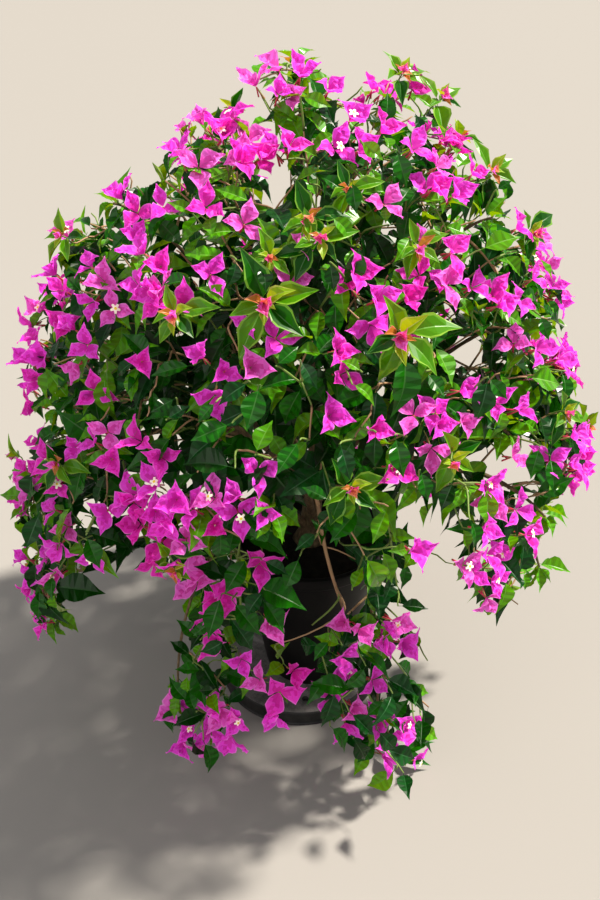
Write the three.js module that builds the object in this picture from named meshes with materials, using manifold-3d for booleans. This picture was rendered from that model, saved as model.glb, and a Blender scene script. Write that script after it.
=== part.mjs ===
// A bougainvillea bush in a black plastic pot on a round base.
// Millimetres, +Z up, the front towards -Y. The origin is on the ground, under the middle of the base.
import * as THREE from "three";
import { mergeVertices } from "three/addons/utils/BufferGeometryUtils.js";
import Module from "manifold-3d";

// Driving dimensions
const gap = 0.3;
const base = {
  segments: 28,
  radius: 104,
  height: 22,
  lipRadius: 105.5,
  lipHeight: 3,
  edge: 5,
  holes: 6,
  firstHole: -85,
  holeCircle: 80,
  holeRadius: 4.5,
  holeDepth: 8,
  holeSides: 6,
};
const pot = {
  segments: 28,
  shift: 12,
  height: 210,
  rimRadius: 95,
  rimBand: 16,
  topRadius: 91,
  footRadius: 56,
  wall: 3,
  floor: 4,
  soilBelowRim: 14,
  soilCrown: 5,
};
const trunk = {
  height: 96,
  flare: 21,
  flareShare: 0.22,
  foot: 14,
  top: 9.5,
  lean: [6, 8],
  upright: 0.35,
  sides: 10,
  steps: 7,
};
const limb = { sides: 5, steps: 5, turnWander: 5, reachWander: 12, heightWander: 16, entryClear: 4 };
const leaf = { length: 82, width: 50, thick: 2.6, fold: 8, belly: 0.14, along: 0.6, sink: 0.5 };
const bloom = { lobes: 3, reach: 44, notch: 20, lift: 24, notchLift: 12, cup: 4, sink: 2 };
const tuft = { lobes: 4, reach: 78, notch: 23, lift: 4, notchLift: 9, cup: 2.5, sink: 2 };
const twig = {
  root: 3,
  tip: 2.6,
  length: 92,
  vary: 0.15,
  shorter: 0.3,
  along: 0.55,
  droop: 0.16,
  first: 0.08,
  last: 0.92,
  rollWander: 0.5,
  bloomAt: 0.98,
  tuftAt: 0.76,
  leafAt: 0.42,
};
const leader = { steps: 5, leaves: [0.45, 0.78], bloomAt: 0.99 };
const crown = { top: 812, waist: 320, radius: 346, roundness: 1.85, lowest: 30 };
const heartShare = 0.78;
const seeds = { limbTier: 1000, limb: 97, massTier: 7919, mass: 131 };
// How a blade or twig that doesn't fit is tried again: turned, tilted, shrunk or shortened
const retry = {
  blades: 9,
  shrink: 0.05,
  leafTurn: 0.9,
  leafTip: 0.4,
  bloomTurn: 0.7,
  bloomSwing: 1.3,
  bloomTilt: 0.14,
  tuftTurn: 0.3,
  twigs: 4,
  shorten: 0.75,
};
const fullTurn = 2 * Math.PI;
const goldenTurn = THREE.MathUtils.degToRad(137.5);

// The tiers of the crown, from its top to the hanging skirts. Each is a ring of masses over an arc of
// the compass: its limbs spring from their carrier, bend at the shoulder and end at the tips.
const tiers = [
  {
    name: "top",
    carrier: "trunk",
    carrierShare: [1, 1],
    count: 1,
    turns: [100, 100],
    spring: [4, 120],
    shoulder: [0, 640],
    tip: [14, 792],
    girth: [9, 3.4],
    bare: 0.38,
    twigs: 6,
  },
  {
    name: "upper",
    carrier: "top",
    carrierShare: [0.07, 0.3],
    count: 5,
    turns: [-20, 268],
    spring: [46, 100],
    shoulder: [138, 676],
    tip: [206, 672],
    girth: [5.6, 3],
    bare: 0.3,
    twigs: 5,
  },
  {
    name: "middle",
    carrier: "trunk",
    carrierShare: [0.34, 0.7],
    count: 7,
    turns: [-90, 218.6],
    spring: [78, 135],
    shoulder: [212, 552],
    tip: [300, 486],
    girth: [5.4, 3],
    bare: 0.38,
    twigs: 4,
  },
  {
    name: "lower",
    carrier: "middle",
    carrierShare: [0.19, 0.29],
    count: 5,
    turns: [-28, 208],
    spring: [52, 60],
    shoulder: [318, 458],
    tip: [326, 300],
    girth: [4.8, 2.8],
    bare: 0.5,
    twigs: 4,
  },
  {
    name: "skirt",
    carrier: "lower",
    carrierShare: [0.42, 0.42],
    count: 4,
    turns: [-12, 196],
    spring: [46, 0],
    shoulder: [316, 290],
    tip: [308, 138],
    girth: [3.8, 2.6],
    bare: 0.3,
    twigs: 4,
  },
  {
    name: "cascade",
    carrier: "trunk",
    carrierShare: [0.08, 0.16],
    count: 2,
    turns: [-126, -61],
    spring: [72, 150],
    shoulder: [222, 330],
    tip: [208, 88],
    girth: [4.2, 2.4],
    bare: 0.3,
    twigs: 6,
  },
];

// Finishes
function finish(colour, roughness) {
  return new THREE.MeshStandardMaterial({ color: colour, roughness, metalness: 0 });
}
const blackPlastic = finish(0x1c1c1f, 0.55);
const dustyPlastic = finish(0x3a3a3c, 0.8);
const darkSoil = finish(0x2c211a, 0.95);
const bark = finish(0x8a7152, 0.85);
const foliage = finish(0x2c6a34, 0.5);

const wasm = await Module();
wasm.setup();

// Geometry and solids
function solidOf(geometry) {
  geometry.deleteAttribute("normal");
  geometry.deleteAttribute("uv");
  const merged = mergeVertices(geometry, 1e-4);
  const vertProperties = new Float32Array(merged.attributes.position.array);
  const triVerts = new Uint32Array(merged.index.array);
  return new wasm.Manifold(new wasm.Mesh({ numProp: 3, vertProperties, triVerts }));
}

function geometryOf(solid) {
  const mesh = solid.getMesh();
  const geometry = new THREE.BufferGeometry();
  geometry.setAttribute("position", new THREE.BufferAttribute(mesh.vertProperties, 3));
  geometry.setIndex(new THREE.BufferAttribute(mesh.triVerts, 1));
  geometry.computeVertexNormals();
  return geometry;
}

// The largest body of a fused solid, without loose scraps and sealed hollows.
function mainBody(solid) {
  return solid.decompose().reduce((best, body) => (body.volume() > best.volume() ? body : best));
}

function turned(profile, segments) {
  const points = profile.map(([radius, height]) => new THREE.Vector2(radius, height));
  return new THREE.LatheGeometry(points, segments).rotateX(Math.PI / 2);
}

// The same numbers on every run: a multiplicative sequence started from a seed.
function seeded(seed) {
  let state = seed;
  return (low, high) => {
    state = (state * 16807) % 2147483647;
    return low + (high - low) * (state / 2147483647);
  };
}

function compass(turn, radius, height) {
  const angle = THREE.MathUtils.degToRad(turn);
  return new THREE.Vector3(radius * Math.cos(angle), radius * Math.sin(angle), height);
}

// A unit vector square to the direction, turned about it by the roll.
function sideways(direction, roll) {
  const reference = Math.abs(direction.z) < 0.9 ? new THREE.Vector3(0, 0, 1) : new THREE.Vector3(1, 0, 0);
  const side = new THREE.Vector3().crossVectors(reference, direction).normalize();
  return side.applyAxisAngle(direction, roll);
}

// A closed tapering tube along a curve: a cylinder whose rings are carried onto the curve.
function taperedTube(curve, radiusAt, sides, steps) {
  const tube = new THREE.CylinderGeometry(1, 1, 1, sides, steps);
  const frames = curve.computeFrenetFrames(steps);
  const places = tube.attributes.position;
  for (let i = 0; i < places.count; i += 1) {
    const share = places.getY(i) + 0.5;
    const step = Math.round(share * steps);
    const across = frames.normals[step];
    const over = new THREE.Vector3().crossVectors(across, frames.tangents[step]);
    const spot = curve
      .getPointAt(share)
      .addScaledVector(across, places.getX(i) * radiusAt(share))
      .addScaledVector(over, places.getZ(i) * radiusAt(share));
    places.setXYZ(i, spot.x, spot.y, spot.z);
  }
  return solidOf(tube);
}

function straightTaper(from, to) {
  return (share) => from + (to - from) * share;
}

// A leaf: a pointed blade of eight faces, widest a third of the way along, its root sunk in the twig.
function blade(scale, place, direction, face) {
  const shape = new THREE.OctahedronGeometry(1);
  const across = new THREE.Vector3().crossVectors(direction, face).normalize();
  const up = new THREE.Vector3().crossVectors(across, direction).normalize();
  const spots = shape.attributes.position;
  for (let i = 0; i < spots.count; i += 1) {
    const x = spots.getX(i);
    const y = spots.getY(i);
    const z = spots.getZ(i);
    const alongShare = 0.5 * (y + 1) - leaf.belly * (Math.abs(x) + Math.abs(z));
    const spot = place
      .clone()
      .addScaledVector(direction, alongShare * scale * leaf.length - leaf.sink)
      .addScaledVector(across, 0.5 * scale * leaf.width * x)
      .addScaledVector(up, 0.5 * leaf.thick * z + leaf.fold * Math.abs(x));
    spots.setXYZ(i, spot.x, spot.y, spot.z);
  }
  return solidOf(shape);
}

// A bloom of three bracts, or a tuft of four leaves: a cone whose rim runs out to the points of the
// lobes and back in between them, with its apex sunk in the twig.
function rosette(sizes, scale, place, direction, roll) {
  const shape = new THREE.ConeGeometry(1, 1, 2 * sizes.lobes);
  const across = sideways(direction, roll);
  const over = new THREE.Vector3().crossVectors(direction, across);
  const spots = shape.attributes.position;
  for (let i = 0; i < spots.count; i += 1) {
    const x = spots.getX(i);
    const z = spots.getZ(i);
    const onRim = Math.hypot(x, z) > 0.5;
    const onPoint = Math.cos(sizes.lobes * (Math.atan2(z, x) - 0.5 * Math.PI)) > 0;
    const rimLift = scale * (onPoint ? sizes.lift : sizes.notchLift);
    const centreLift = spots.getY(i) > 0 ? -sizes.sink : sizes.cup;
    const radius = scale * (onPoint ? sizes.reach : sizes.notch);
    const spot = place
      .clone()
      .addScaledVector(direction, onRim ? rimLift : centreLift)
      .addScaledVector(across, onRim ? radius * x : 0)
      .addScaledVector(over, onRim ? radius * z : 0);
    spots.setXYZ(i, spot.x, spot.y, spot.z);
  }
  return solidOf(shape);
}

// The round base, with its ring of blind drain holes
function baseSolid() {
  const { radius, height, lipRadius, lipHeight, edge, holeRadius, holeDepth, holeSides } = base;
  const profile = [
    [0, 0],
    [lipRadius, 0],
    [lipRadius, lipHeight - 1],
    [radius, lipHeight],
    [radius, height - edge],
    [radius - 0.3 * edge, height - 0.3 * edge],
    [radius - edge, height],
    [0, height],
  ];
  let solid = solidOf(turned(profile, base.segments));
  for (let i = 0; i < base.holes; i += 1) {
    const hole = new THREE.CylinderGeometry(holeRadius, holeRadius, 2 * holeDepth, holeSides);
    const place = compass(base.firstHole + (360 / base.holes) * i, base.holeCircle, height);
    hole.rotateX(Math.PI / 2).translate(place.x, place.y, place.z);
    solid = solid.subtract(solidOf(hole));
  }
  return solid;
}

// The pot, centred on its own axis, and the soil that fills it
const potFoot = base.height + gap;
const potTop = potFoot + pot.height;
const soilTop = potTop - pot.soilBelowRim;

function potWallRadius(height) {
  const share = (height - potFoot) / pot.height;
  return pot.footRadius + (pot.topRadius - pot.footRadius) * share;
}

function potSolid() {
  const bandFoot = potTop - pot.rimBand;
  const inside = potFoot + pot.floor;
  const profile = [
    [0, potFoot],
    [pot.footRadius - 2, potFoot],
    [pot.footRadius, potFoot + 2],
    [potWallRadius(bandFoot), bandFoot],
    [pot.rimRadius - 1, bandFoot + 1],
    [pot.rimRadius, potTop - 2],
    [pot.rimRadius - 1.2, potTop],
    [pot.topRadius - pot.wall, potTop],
    [potWallRadius(bandFoot) - pot.wall, bandFoot],
    [potWallRadius(inside) - pot.wall, inside],
    [0, inside],
  ];
  return solidOf(turned(profile, pot.segments).translate(pot.shift, 0, 0));
}

function soilSolid() {
  const clear = pot.wall + gap;
  const foot = potFoot + pot.floor + gap;
  const profile = [
    [0, foot],
    [potWallRadius(foot) - clear, foot],
    [potWallRadius(soilTop) - clear, soilTop],
    [0.55 * pot.topRadius, soilTop + 0.7 * pot.soilCrown],
    [trunk.flare + 6, soilTop + pot.soilCrown],
    [0, soilTop + pot.soilCrown],
  ];
  return solidOf(turned(profile, pot.segments).translate(pot.shift, 0, 0));
}

// The trunk, with its root flare, from a flat cut on the soil to the fork
const trunkFoot = new THREE.Vector3(pot.shift, 0, soilTop + pot.soilCrown + gap);
const trunkTop = trunkFoot.clone().add(new THREE.Vector3(...trunk.lean, trunk.height));
const upright = new THREE.Vector3(0, 0, trunk.upright * trunk.height);
const trunkCurve = new THREE.CubicBezierCurve3(
  trunkFoot,
  trunkFoot.clone().add(upright),
  trunkTop.clone().sub(upright),
  trunkTop,
);

function trunkRadius(share) {
  const flare = (trunk.flare - trunk.foot) * Math.max(0, 1 - share / trunk.flareShare) ** 2;
  return straightTaper(trunk.foot, trunk.top)(share) + flare;
}

function trunkTube(extra) {
  return taperedTube(trunkCurve, (share) => trunkRadius(share) + extra, trunk.sides, trunk.steps);
}

// Each limb is one arch from its carrier to its tip. Its first stretch is the bough, and the rest,
// from where the arch enters its own space for good, is the leader of the mass.
function archOf(tier, index, limbs) {
  const tierNumber = tiers.indexOf(tier) + 1;
  const random = seeded(seeds.limbTier * tierNumber + seeds.limb * (index + 1));
  const steps = Math.max(tier.count - 1, 1);
  const evenTurn = THREE.MathUtils.lerp(...tier.turns, index / steps);
  const turn = evenTurn + random(-limb.turnWander, limb.turnWander);
  const reach = tier.tip[0] + random(-limb.reachWander, limb.reachWander);
  const tipHeight = tier.tip[1] + random(-limb.heightWander, limb.heightWander);
  const stagger = ((2 * index) % tier.count) / steps;
  const share = THREE.MathUtils.lerp(...tier.carrierShare, stagger);
  const carrier = carrierOf(tier, turn, limbs);
  const root = carrier.curve.getPoint(share);
  const spring = root.clone().add(compass(turn, ...tier.spring));
  const shoulder = compass(turn, ...tier.shoulder);
  return {
    name: tier.count > 1 ? `${tier.name}_${index + 1}` : tier.name,
    tier,
    turn,
    carrier,
    carrierShare: share,
    seed: seeds.massTier * tierNumber + seeds.mass * (index + 1),
    curve: new THREE.CubicBezierCurve3(root, spring, shoulder, compass(turn, reach, tipHeight)),
  };
}

// The trunk, or the limb of the carrying tier that points the same way best.
function carrierOf(tier, turn, limbs) {
  const choices = limbs.filter((other) => other.tier && other.tier.name === tier.carrier);
  if (!choices.length) return limbs[0];
  const offBy = (other) => Math.abs(((other.turn - turn + 540) % 360) - 180);
  return choices.reduce((best, other) => (offBy(other) < offBy(best) ? other : best));
}

const limbs = [{ name: "trunk", curve: trunkCurve }];
for (const tier of tiers) {
  for (let index = 0; index < tier.count; index += 1) limbs.push(archOf(tier, index, limbs));
}
const arches = limbs.slice(1);
for (const arch of arches) arch.heart = arch.curve.getPoint(heartShare);

// A place belongs to the mass whose heart is nearest, and stays clear of the planes between hearts.
function insideSpace(arch, spot, clear) {
  return arches.every((other) => {
    if (other === arch) return true;
    const between = other.heart.clone().sub(arch.heart);
    const middle = other.heart.clone().add(arch.heart).multiplyScalar(0.5);
    return spot.clone().sub(middle).dot(between.normalize()) < -clear;
  });
}

for (const arch of arches) {
  const samples = 60;
  const inside = (sample) => insideSpace(arch, arch.curve.getPoint(sample / samples), limb.entryClear);
  let entry = samples;
  while (entry > 1 && inside(entry - 1)) entry -= 1;
  arch.entry = Math.max(entry / samples, arch.tier.bare);
}

// The stretch of an arch between two shares, as an arch of its own
function stretch(arch, from, to) {
  const corners = [arch.v0, arch.v1, arch.v2, arch.v3];
  const blended = (shares) => {
    let row = corners;
    for (const share of shares) row = row.slice(1).map((corner, i) => row[i].clone().lerp(corner, share));
    return row[0];
  };
  return new THREE.CubicBezierCurve3(
    blended([from, from, from]),
    blended([from, from, to]),
    blended([from, to, to]),
    blended([to, to, to]),
  );
}

// The share of an arch that one gap takes up, where it stands
function stepOf(arch, share) {
  const little = 0.001;
  const run = arch.curve.getPoint(share).distanceTo(arch.curve.getPoint(share + little));
  return (little * gap) / run;
}

function girthAt(arch, share) {
  return straightTaper(arch.tier.girth[0], arch.tier.girth[1])(share / arch.entry);
}

function boughTube(arch, extra) {
  const path = stretch(arch.curve, 0, arch.entry);
  return taperedTube(path, (share) => girthAt(arch, share * arch.entry) + extra, limb.sides, limb.steps);
}

const swollen = new Map([["trunk", trunkTube(gap)]]);
for (const arch of arches) swollen.set(arch.name, boughTube(arch, gap));

// A bough starts inside its carrier, and is cut clear of it and of the boughs that spring there
// before it. The top bough carries on from the trunk's end instead.
function boughSolid(arch) {
  if (arch.carrierShare === 1) {
    const path = stretch(arch.curve, stepOf(arch, 0), arch.entry);
    return taperedTube(path, (share) => girthAt(arch, share * arch.entry), limb.sides, limb.steps);
  }
  const earlier = arches.slice(0, arches.indexOf(arch));
  const besides = earlier.filter((other) => other.carrier === arch.carrier);
  const inTheWay = [arch.carrier, ...besides].map((other) => swollen.get(other.name));
  return mainBody(boughTube(arch, 0).subtract(wasm.Manifold.union(inTheWay)));
}

const boughs = new Map(arches.map((arch) => [arch.name, boughSolid(arch)]));

const keepClear = wasm.Manifold.union([
  ...swollen.values(),
  potSolid(),
  soilSolid(),
  baseSolid(),
]);

function clearOfLimbs(solid) {
  return solid.intersect(keepClear).isEmpty();
}

// The widest that the crown is at a height: round over the waist, and straight down below it.
function crownRadius(height) {
  const share = THREE.MathUtils.clamp((height - crown.waist) / (crown.top - crown.waist), 0, 1);
  return crown.radius * (1 - share ** crown.roundness) ** (1 / crown.roundness);
}

function keepsToSpace(arch, solid) {
  const { vertProperties } = solid.getMesh();
  for (let i = 0; i < vertProperties.length; i += 3) {
    const spot = new THREE.Vector3().fromArray(vertProperties, i);
    if (spot.z < crown.lowest || spot.z > crown.top) return false;
    if (Math.hypot(spot.x, spot.y) > crownRadius(spot.z)) return false;
    if (!insideSpace(arch, spot, gap)) return false;
  }
  return true;
}

// A mass: the leader, twigs round it by the golden turn, a tuft and a leaf on each, and a bloom at
// each tip. What would leave the space of the mass, meet a limb or cross another blade is turned and
// shrunk a little, or left off.
function massSolid(arch) {
  const random = seeded(arch.seed);
  const stem = stretch(arch.curve, arch.entry + stepOf(arch, arch.entry), 1);
  let wood = taperedTube(stem, straightTaper(arch.tier.girth[1], twig.tip), 3, leader.steps);
  const blades = [];

  const fits = (solid) => {
    const crosses = blades.some((other) => !solid.intersect(other).isEmpty());
    return !crosses && keepsToSpace(arch, solid) && clearOfLimbs(solid);
  };
  const firstThatFits = (makes) => {
    for (let tries = 0; tries < retry.blades; tries += 1) {
      const solid = makes(tries, 1 - retry.shrink * tries);
      if (fits(solid)) {
        blades.push(solid);
        return;
      }
    }
  };
  const addLeaf = (place, along, roll) => {
    firstThatFits((tries, scale) => {
      const side = sideways(along, roll + retry.leafTurn * tries);
      const direction = along.clone().multiplyScalar(leaf.along).add(side).normalize();
      const face = new THREE.Vector3(0, 0, 1).addScaledVector(side, retry.leafTip * (tries - 1));
      return blade(scale, place, direction, face);
    });
  };
  const addBloom = (place, along) => {
    firstThatFits((tries, scale) => {
      const tilt = sideways(along, retry.bloomSwing * tries).multiplyScalar(retry.bloomTilt * tries);
      const direction = along.clone().add(tilt).normalize();
      return rosette(bloom, scale, place, direction, retry.bloomTurn * tries);
    });
  };
  const addTuft = (place, along, roll) => {
    firstThatFits((tries, scale) => rosette(tuft, scale, place, along, roll + retry.tuftTurn * tries));
  };
  const addTwig = (place, direction, length) => {
    const end = place.clone().addScaledVector(direction, length);
    end.z -= twig.droop * length;
    const path = new THREE.LineCurve3(place, end);
    const tube = taperedTube(path, straightTaper(twig.root, twig.tip), 3, 1);
    if (!fits(tube)) return false;
    const along = path.getTangent(1);
    const roll = random(-twig.rollWander, twig.rollWander);
    wood = wood.add(tube);
    addBloom(path.getPoint(twig.bloomAt), along);
    addTuft(path.getPoint(twig.tuftAt), along, roll);
    addLeaf(path.getPoint(twig.leafAt), along, roll);
    return true;
  };

  addBloom(stem.getPoint(leader.bloomAt), stem.getTangent(1));
  let roll = random(0, fullTurn);
  for (let i = 0; i < arch.tier.twigs; i += 1) {
    const share = THREE.MathUtils.lerp(twig.first, twig.last, i / arch.tier.twigs);
    const along = stem.getTangent(share);
    const direction = along.clone().multiplyScalar(twig.along).add(sideways(along, roll)).normalize();
    let length = twig.length * random(1 - twig.vary, 1 + twig.vary) * (1 - twig.shorter * share);
    for (let tries = 0; tries < retry.twigs; tries += 1) {
      if (addTwig(stem.getPoint(share), direction, length)) break;
      length *= retry.shorten;
    }
    roll += goldenTurn;
  }
  leader.leaves.forEach((share, number) => {
    addLeaf(stem.getPoint(share), stem.getTangent(share), roll + number * goldenTurn);
  });
  return mainBody(wasm.Manifold.union([wood, ...blades]));
}

// The whole plant in its pot
const plant = new THREE.Group();
plant.name = "bougainvillea";

function addNode(name, solid, material) {
  const mesh = new THREE.Mesh(geometryOf(solid), material);
  mesh.name = name;
  plant.add(mesh);
}

addNode("base", baseSolid(), dustyPlastic);
addNode("pot", potSolid(), blackPlastic);
addNode("soil", soilSolid(), darkSoil);
addNode("trunk", trunkTube(0), bark);
for (const arch of arches) {
  addNode(`bough_${arch.name}`, boughs.get(arch.name), bark);
  addNode(`foliage_${arch.name}`, massSolid(arch), foliage);
}

export default plant;
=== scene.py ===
import math
import random

import bmesh
import bpy
import numpy as np
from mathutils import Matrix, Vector, noise


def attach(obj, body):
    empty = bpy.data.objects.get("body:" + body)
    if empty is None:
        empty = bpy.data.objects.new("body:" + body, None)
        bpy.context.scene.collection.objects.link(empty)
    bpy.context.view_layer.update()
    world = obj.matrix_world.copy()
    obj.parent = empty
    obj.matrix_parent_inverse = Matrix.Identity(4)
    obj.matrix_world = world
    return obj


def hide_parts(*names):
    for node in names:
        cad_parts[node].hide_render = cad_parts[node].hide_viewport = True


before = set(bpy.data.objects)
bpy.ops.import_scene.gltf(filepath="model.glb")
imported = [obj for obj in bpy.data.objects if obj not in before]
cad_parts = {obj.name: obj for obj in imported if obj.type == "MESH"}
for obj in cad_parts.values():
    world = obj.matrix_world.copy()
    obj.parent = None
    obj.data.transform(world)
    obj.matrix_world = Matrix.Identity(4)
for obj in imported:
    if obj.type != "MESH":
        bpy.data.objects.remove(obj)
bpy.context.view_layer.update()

# A bougainvillea bush in its pot. The plant grows in millimetres, by the same rule as the part's source,
# and each mesh is written in metres.
mm = 0.001
goldenTurn = math.radians(137.5)

# Camera, and the way between the photograph's pixels and the part's frame
view = {"width": 600, "height": 900, "lens": 40, "sensor": 36, "place": (0, -993, 1000), "down": 33}


def makeCamera():
    data = bpy.data.cameras.new("camera")
    data.lens = view["lens"]
    data.sensor_width = view["sensor"]
    data.clip_end = 60
    camera = bpy.data.objects.new("camera", data)
    camera.location = Vector(view["place"]) * mm
    camera.rotation_euler = (math.radians(90 - view["down"]), 0, 0)
    bpy.context.scene.collection.objects.link(camera)
    bpy.context.scene.camera = camera


eye = np.array(view["place"], float)
focal = view["lens"] / view["sensor"] * max(view["width"], view["height"])
down = math.radians(view["down"])
forward = np.array([0, math.cos(down), -math.sin(down)])
upward = np.array([0, math.sin(down), math.cos(down)])


def sightline(x, y):
    ray = forward + (x - view["width"] / 2) / focal * np.array([1, 0, 0])
    return unit(ray - (y - view["height"] / 2) / focal * upward)


def pixelOf(spot):
    arm = np.asarray(spot, float) - eye
    depth = arm @ forward
    x = view["width"] / 2 + focal * arm[..., 0] / depth
    return x, view["height"] / 2 - focal * (arm @ upward) / depth


# Small maths
def unit(arm):
    return np.asarray(arm, float) / np.linalg.norm(arm)


def mix(low, high, share):
    return low + (high - low) * share


def smooth(low, high, value):
    share = min(max((value - low) / (high - low), 0), 1)
    return share * share * (3 - 2 * share)


def compass(turn, radius, height):
    angle = math.radians(turn)
    return np.array([radius * math.cos(angle), radius * math.sin(angle), height])


def sideways(direction, roll):    # a unit arm square to the direction, turned about it by the roll
    reference = (0, 0, 1) if abs(direction[2]) < 0.9 else (1, 0, 0)
    side = unit(np.cross(reference, direction))
    return side * math.cos(roll) + np.cross(direction, side) * math.sin(roll)


def seeded(seed):    # the source's own sequence
    state = [seed]

    def draw(low, high):
        state[0] = (state[0] * 16807) % 2147483647
        return low + (high - low) * state[0] / 2147483647

    return draw


class Curve:    # a cubic Bezier of four corners
    def __init__(self, *corners):
        self.corners = np.array(corners, float)

    def point(self, share):
        s = np.asarray(share, float)[..., None]
        a, b, c, d = self.corners
        return (1 - s) ** 3 * a + 3 * (1 - s) ** 2 * s * b + 3 * (1 - s) * s * s * c + s ** 3 * d

    def tangent(self, share):
        s = np.asarray(share, float)[..., None]
        a, b, c, d = self.corners
        run = (1 - s) ** 2 * (b - a) + 2 * (1 - s) * s * (c - b) + s * s * (d - c)
        return run / np.maximum(np.linalg.norm(run, axis=-1, keepdims=True), 1e-9)

    def part(self, low, high):
        def blended(*shares):
            row = self.corners
            for share in shares:
                row = [mix(row[i], row[i + 1], share) for i in range(len(row) - 1)]
            return row[0]
        return Curve(blended(low, low, low), blended(low, low, high), blended(low, high, high),
                     blended(high, high, high))

    def length(self):
        spots = self.point(np.linspace(0, 1, 13))
        return float(np.linalg.norm(np.diff(spots, axis=0), axis=1).sum())


# Finishes
class Wire:    # a socket that Python's operators can work on
    def __init__(self, finish, socket):
        self.finish = finish
        self.socket = socket

    def __add__(self, other):
        return self.finish.maths("ADD", self, other)

    def __mul__(self, other):
        return self.finish.maths("MULTIPLY", self, other)

    __radd__ = __add__
    __rmul__ = __mul__


class Finish:
    def __init__(self, name, colour, roughness, specular, thin=0.0, glow=None):
        self.material = bpy.data.materials.new(name)
        self.material.use_nodes = True
        self.nodes = self.material.node_tree.nodes
        self.links = self.material.node_tree.links
        self.shader = self.nodes["Principled BSDF"]
        self.give("Base Color", colour)
        self.give("Roughness", roughness)
        self.give("Specular IOR Level", specular)
        if thin:    # light that comes through a leaf or bract
            through = self.node("ShaderNodeBsdfTranslucent", Color=asColour(glow or colour))
            both = self.node("ShaderNodeMixShader", Fac=thin)
            self.links.new(self.shader.outputs[0], both.inputs[1])
            self.links.new(through.outputs[0], both.inputs[2])
            self.links.new(both.outputs[0], self.nodes["Material Output"].inputs["Surface"])

    def give(self, socket, value):
        target = self.shader.inputs[socket]
        if isinstance(value, Wire):
            self.links.new(value.socket, target)
        else:
            target.default_value = asColour(value) if target.type == "RGBA" else value

    def node(self, kind, settings=None, stops=None, **values):
        made = self.nodes.new(kind)
        for name, value in (settings or {}).items():
            setattr(made, name, value)
        if stops:
            ramp = made.color_ramp.elements
            while len(ramp) < len(stops):
                ramp.new(0.5)
            for element, (place, colour) in zip(ramp, stops):
                element.position = place
                element.color = asColour(colour)
        for name, value in values.items():
            target = made.inputs[int(name[1:])] if name[1:].isdigit() else made.inputs[name]
            if isinstance(value, Wire):
                self.links.new(value.socket, target)
            else:
                target.default_value = value
        return made

    def maths(self, operation, first, second):
        made = self.node("ShaderNodeMath", {"operation": operation}, i0=first, i1=second)
        return Wire(self, made.outputs[0])

    def place(self, scale=(1, 1, 1)):
        spot = self.node("ShaderNodeTexCoord").outputs["Object"]
        made = self.node("ShaderNodeMapping", Vector=Wire(self, spot), Scale=scale)
        return Wire(self, made.outputs[0])

    def grain(self, scale, detail=4.0, rough=0.55, stretch=(1, 1, 1)):
        made = self.node("ShaderNodeTexNoise", Vector=self.place(stretch), Scale=scale, Detail=detail,
                         Roughness=rough)
        return Wire(self, made.outputs[0])

    def ramp(self, value, *stops):
        made = self.node("ShaderNodeValToRGB", stops=stops, Fac=value)
        return Wire(self, made.outputs[0])

    def blend(self, share, low, high):
        made = self.node("ShaderNodeMix", {"data_type": "RGBA"}, i0=share)
        for socket, value in ((made.inputs[6], low), (made.inputs[7], high)):
            if isinstance(value, Wire):
                self.links.new(value.socket, socket)
            else:
                socket.default_value = asColour(value)
        return Wire(self, made.outputs[2])

    def relief(self, height, strength, distance):
        made = self.node("ShaderNodeBump", Height=height, Strength=strength, Distance=distance)
        self.links.new(made.outputs[0], self.shader.inputs["Normal"])


def asColour(value):    # screen red, green and blue from 0 to 255, to the shader's linear values
    if len(value) == 4:
        return value
    return tuple((v / 255 / 12.92) if v <= 10 else ((v / 255 + 0.055) / 1.055) ** 2.4 for v in value) + (1,)


# The colours of the plant: each is a plain finish, and a spray takes one of them
leafTones = {
    "deep": (5, 41, 2),
    "mid": (14, 70, 3),
    "fresh": (56, 115, 6),
    "young": (110, 146, 20),
    "bronze": (150, 92, 36),
    "cool": (9, 52, 16),
}
ribTones = {
    "deep": (22, 66, 16),
    "mid": (38, 92, 20),
    "fresh": (92, 146, 38),
    "young": (166, 184, 84),
    "bronze": (190, 130, 80),
    "cool": (34, 84, 40),
}
# Pale rims of young leaves: painted sunlight on their margins
sunlitRimTones = {"fresh": (124, 168, 46), "mid": (98, 148, 40), "young": (172, 180, 70), "bronze": (204, 104, 88)}
bractTones = {
    "bright": (255, 76, 240),
    "pink": (255, 64, 224),
    "plum": (238, 44, 196),
    "salmon": (244, 84, 172),
    "pale": (255, 112, 232),
    "amber": (244, 150, 110),
}
starTones = {"white": (246, 240, 222), "yellow": (232, 206, 60)}
tubeTones = {"tube": (176, 52, 74), "olive": (150, 150, 60)}
barkTones = {"tan": (150, 120, 88), "green": (104, 128, 58)}


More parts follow.
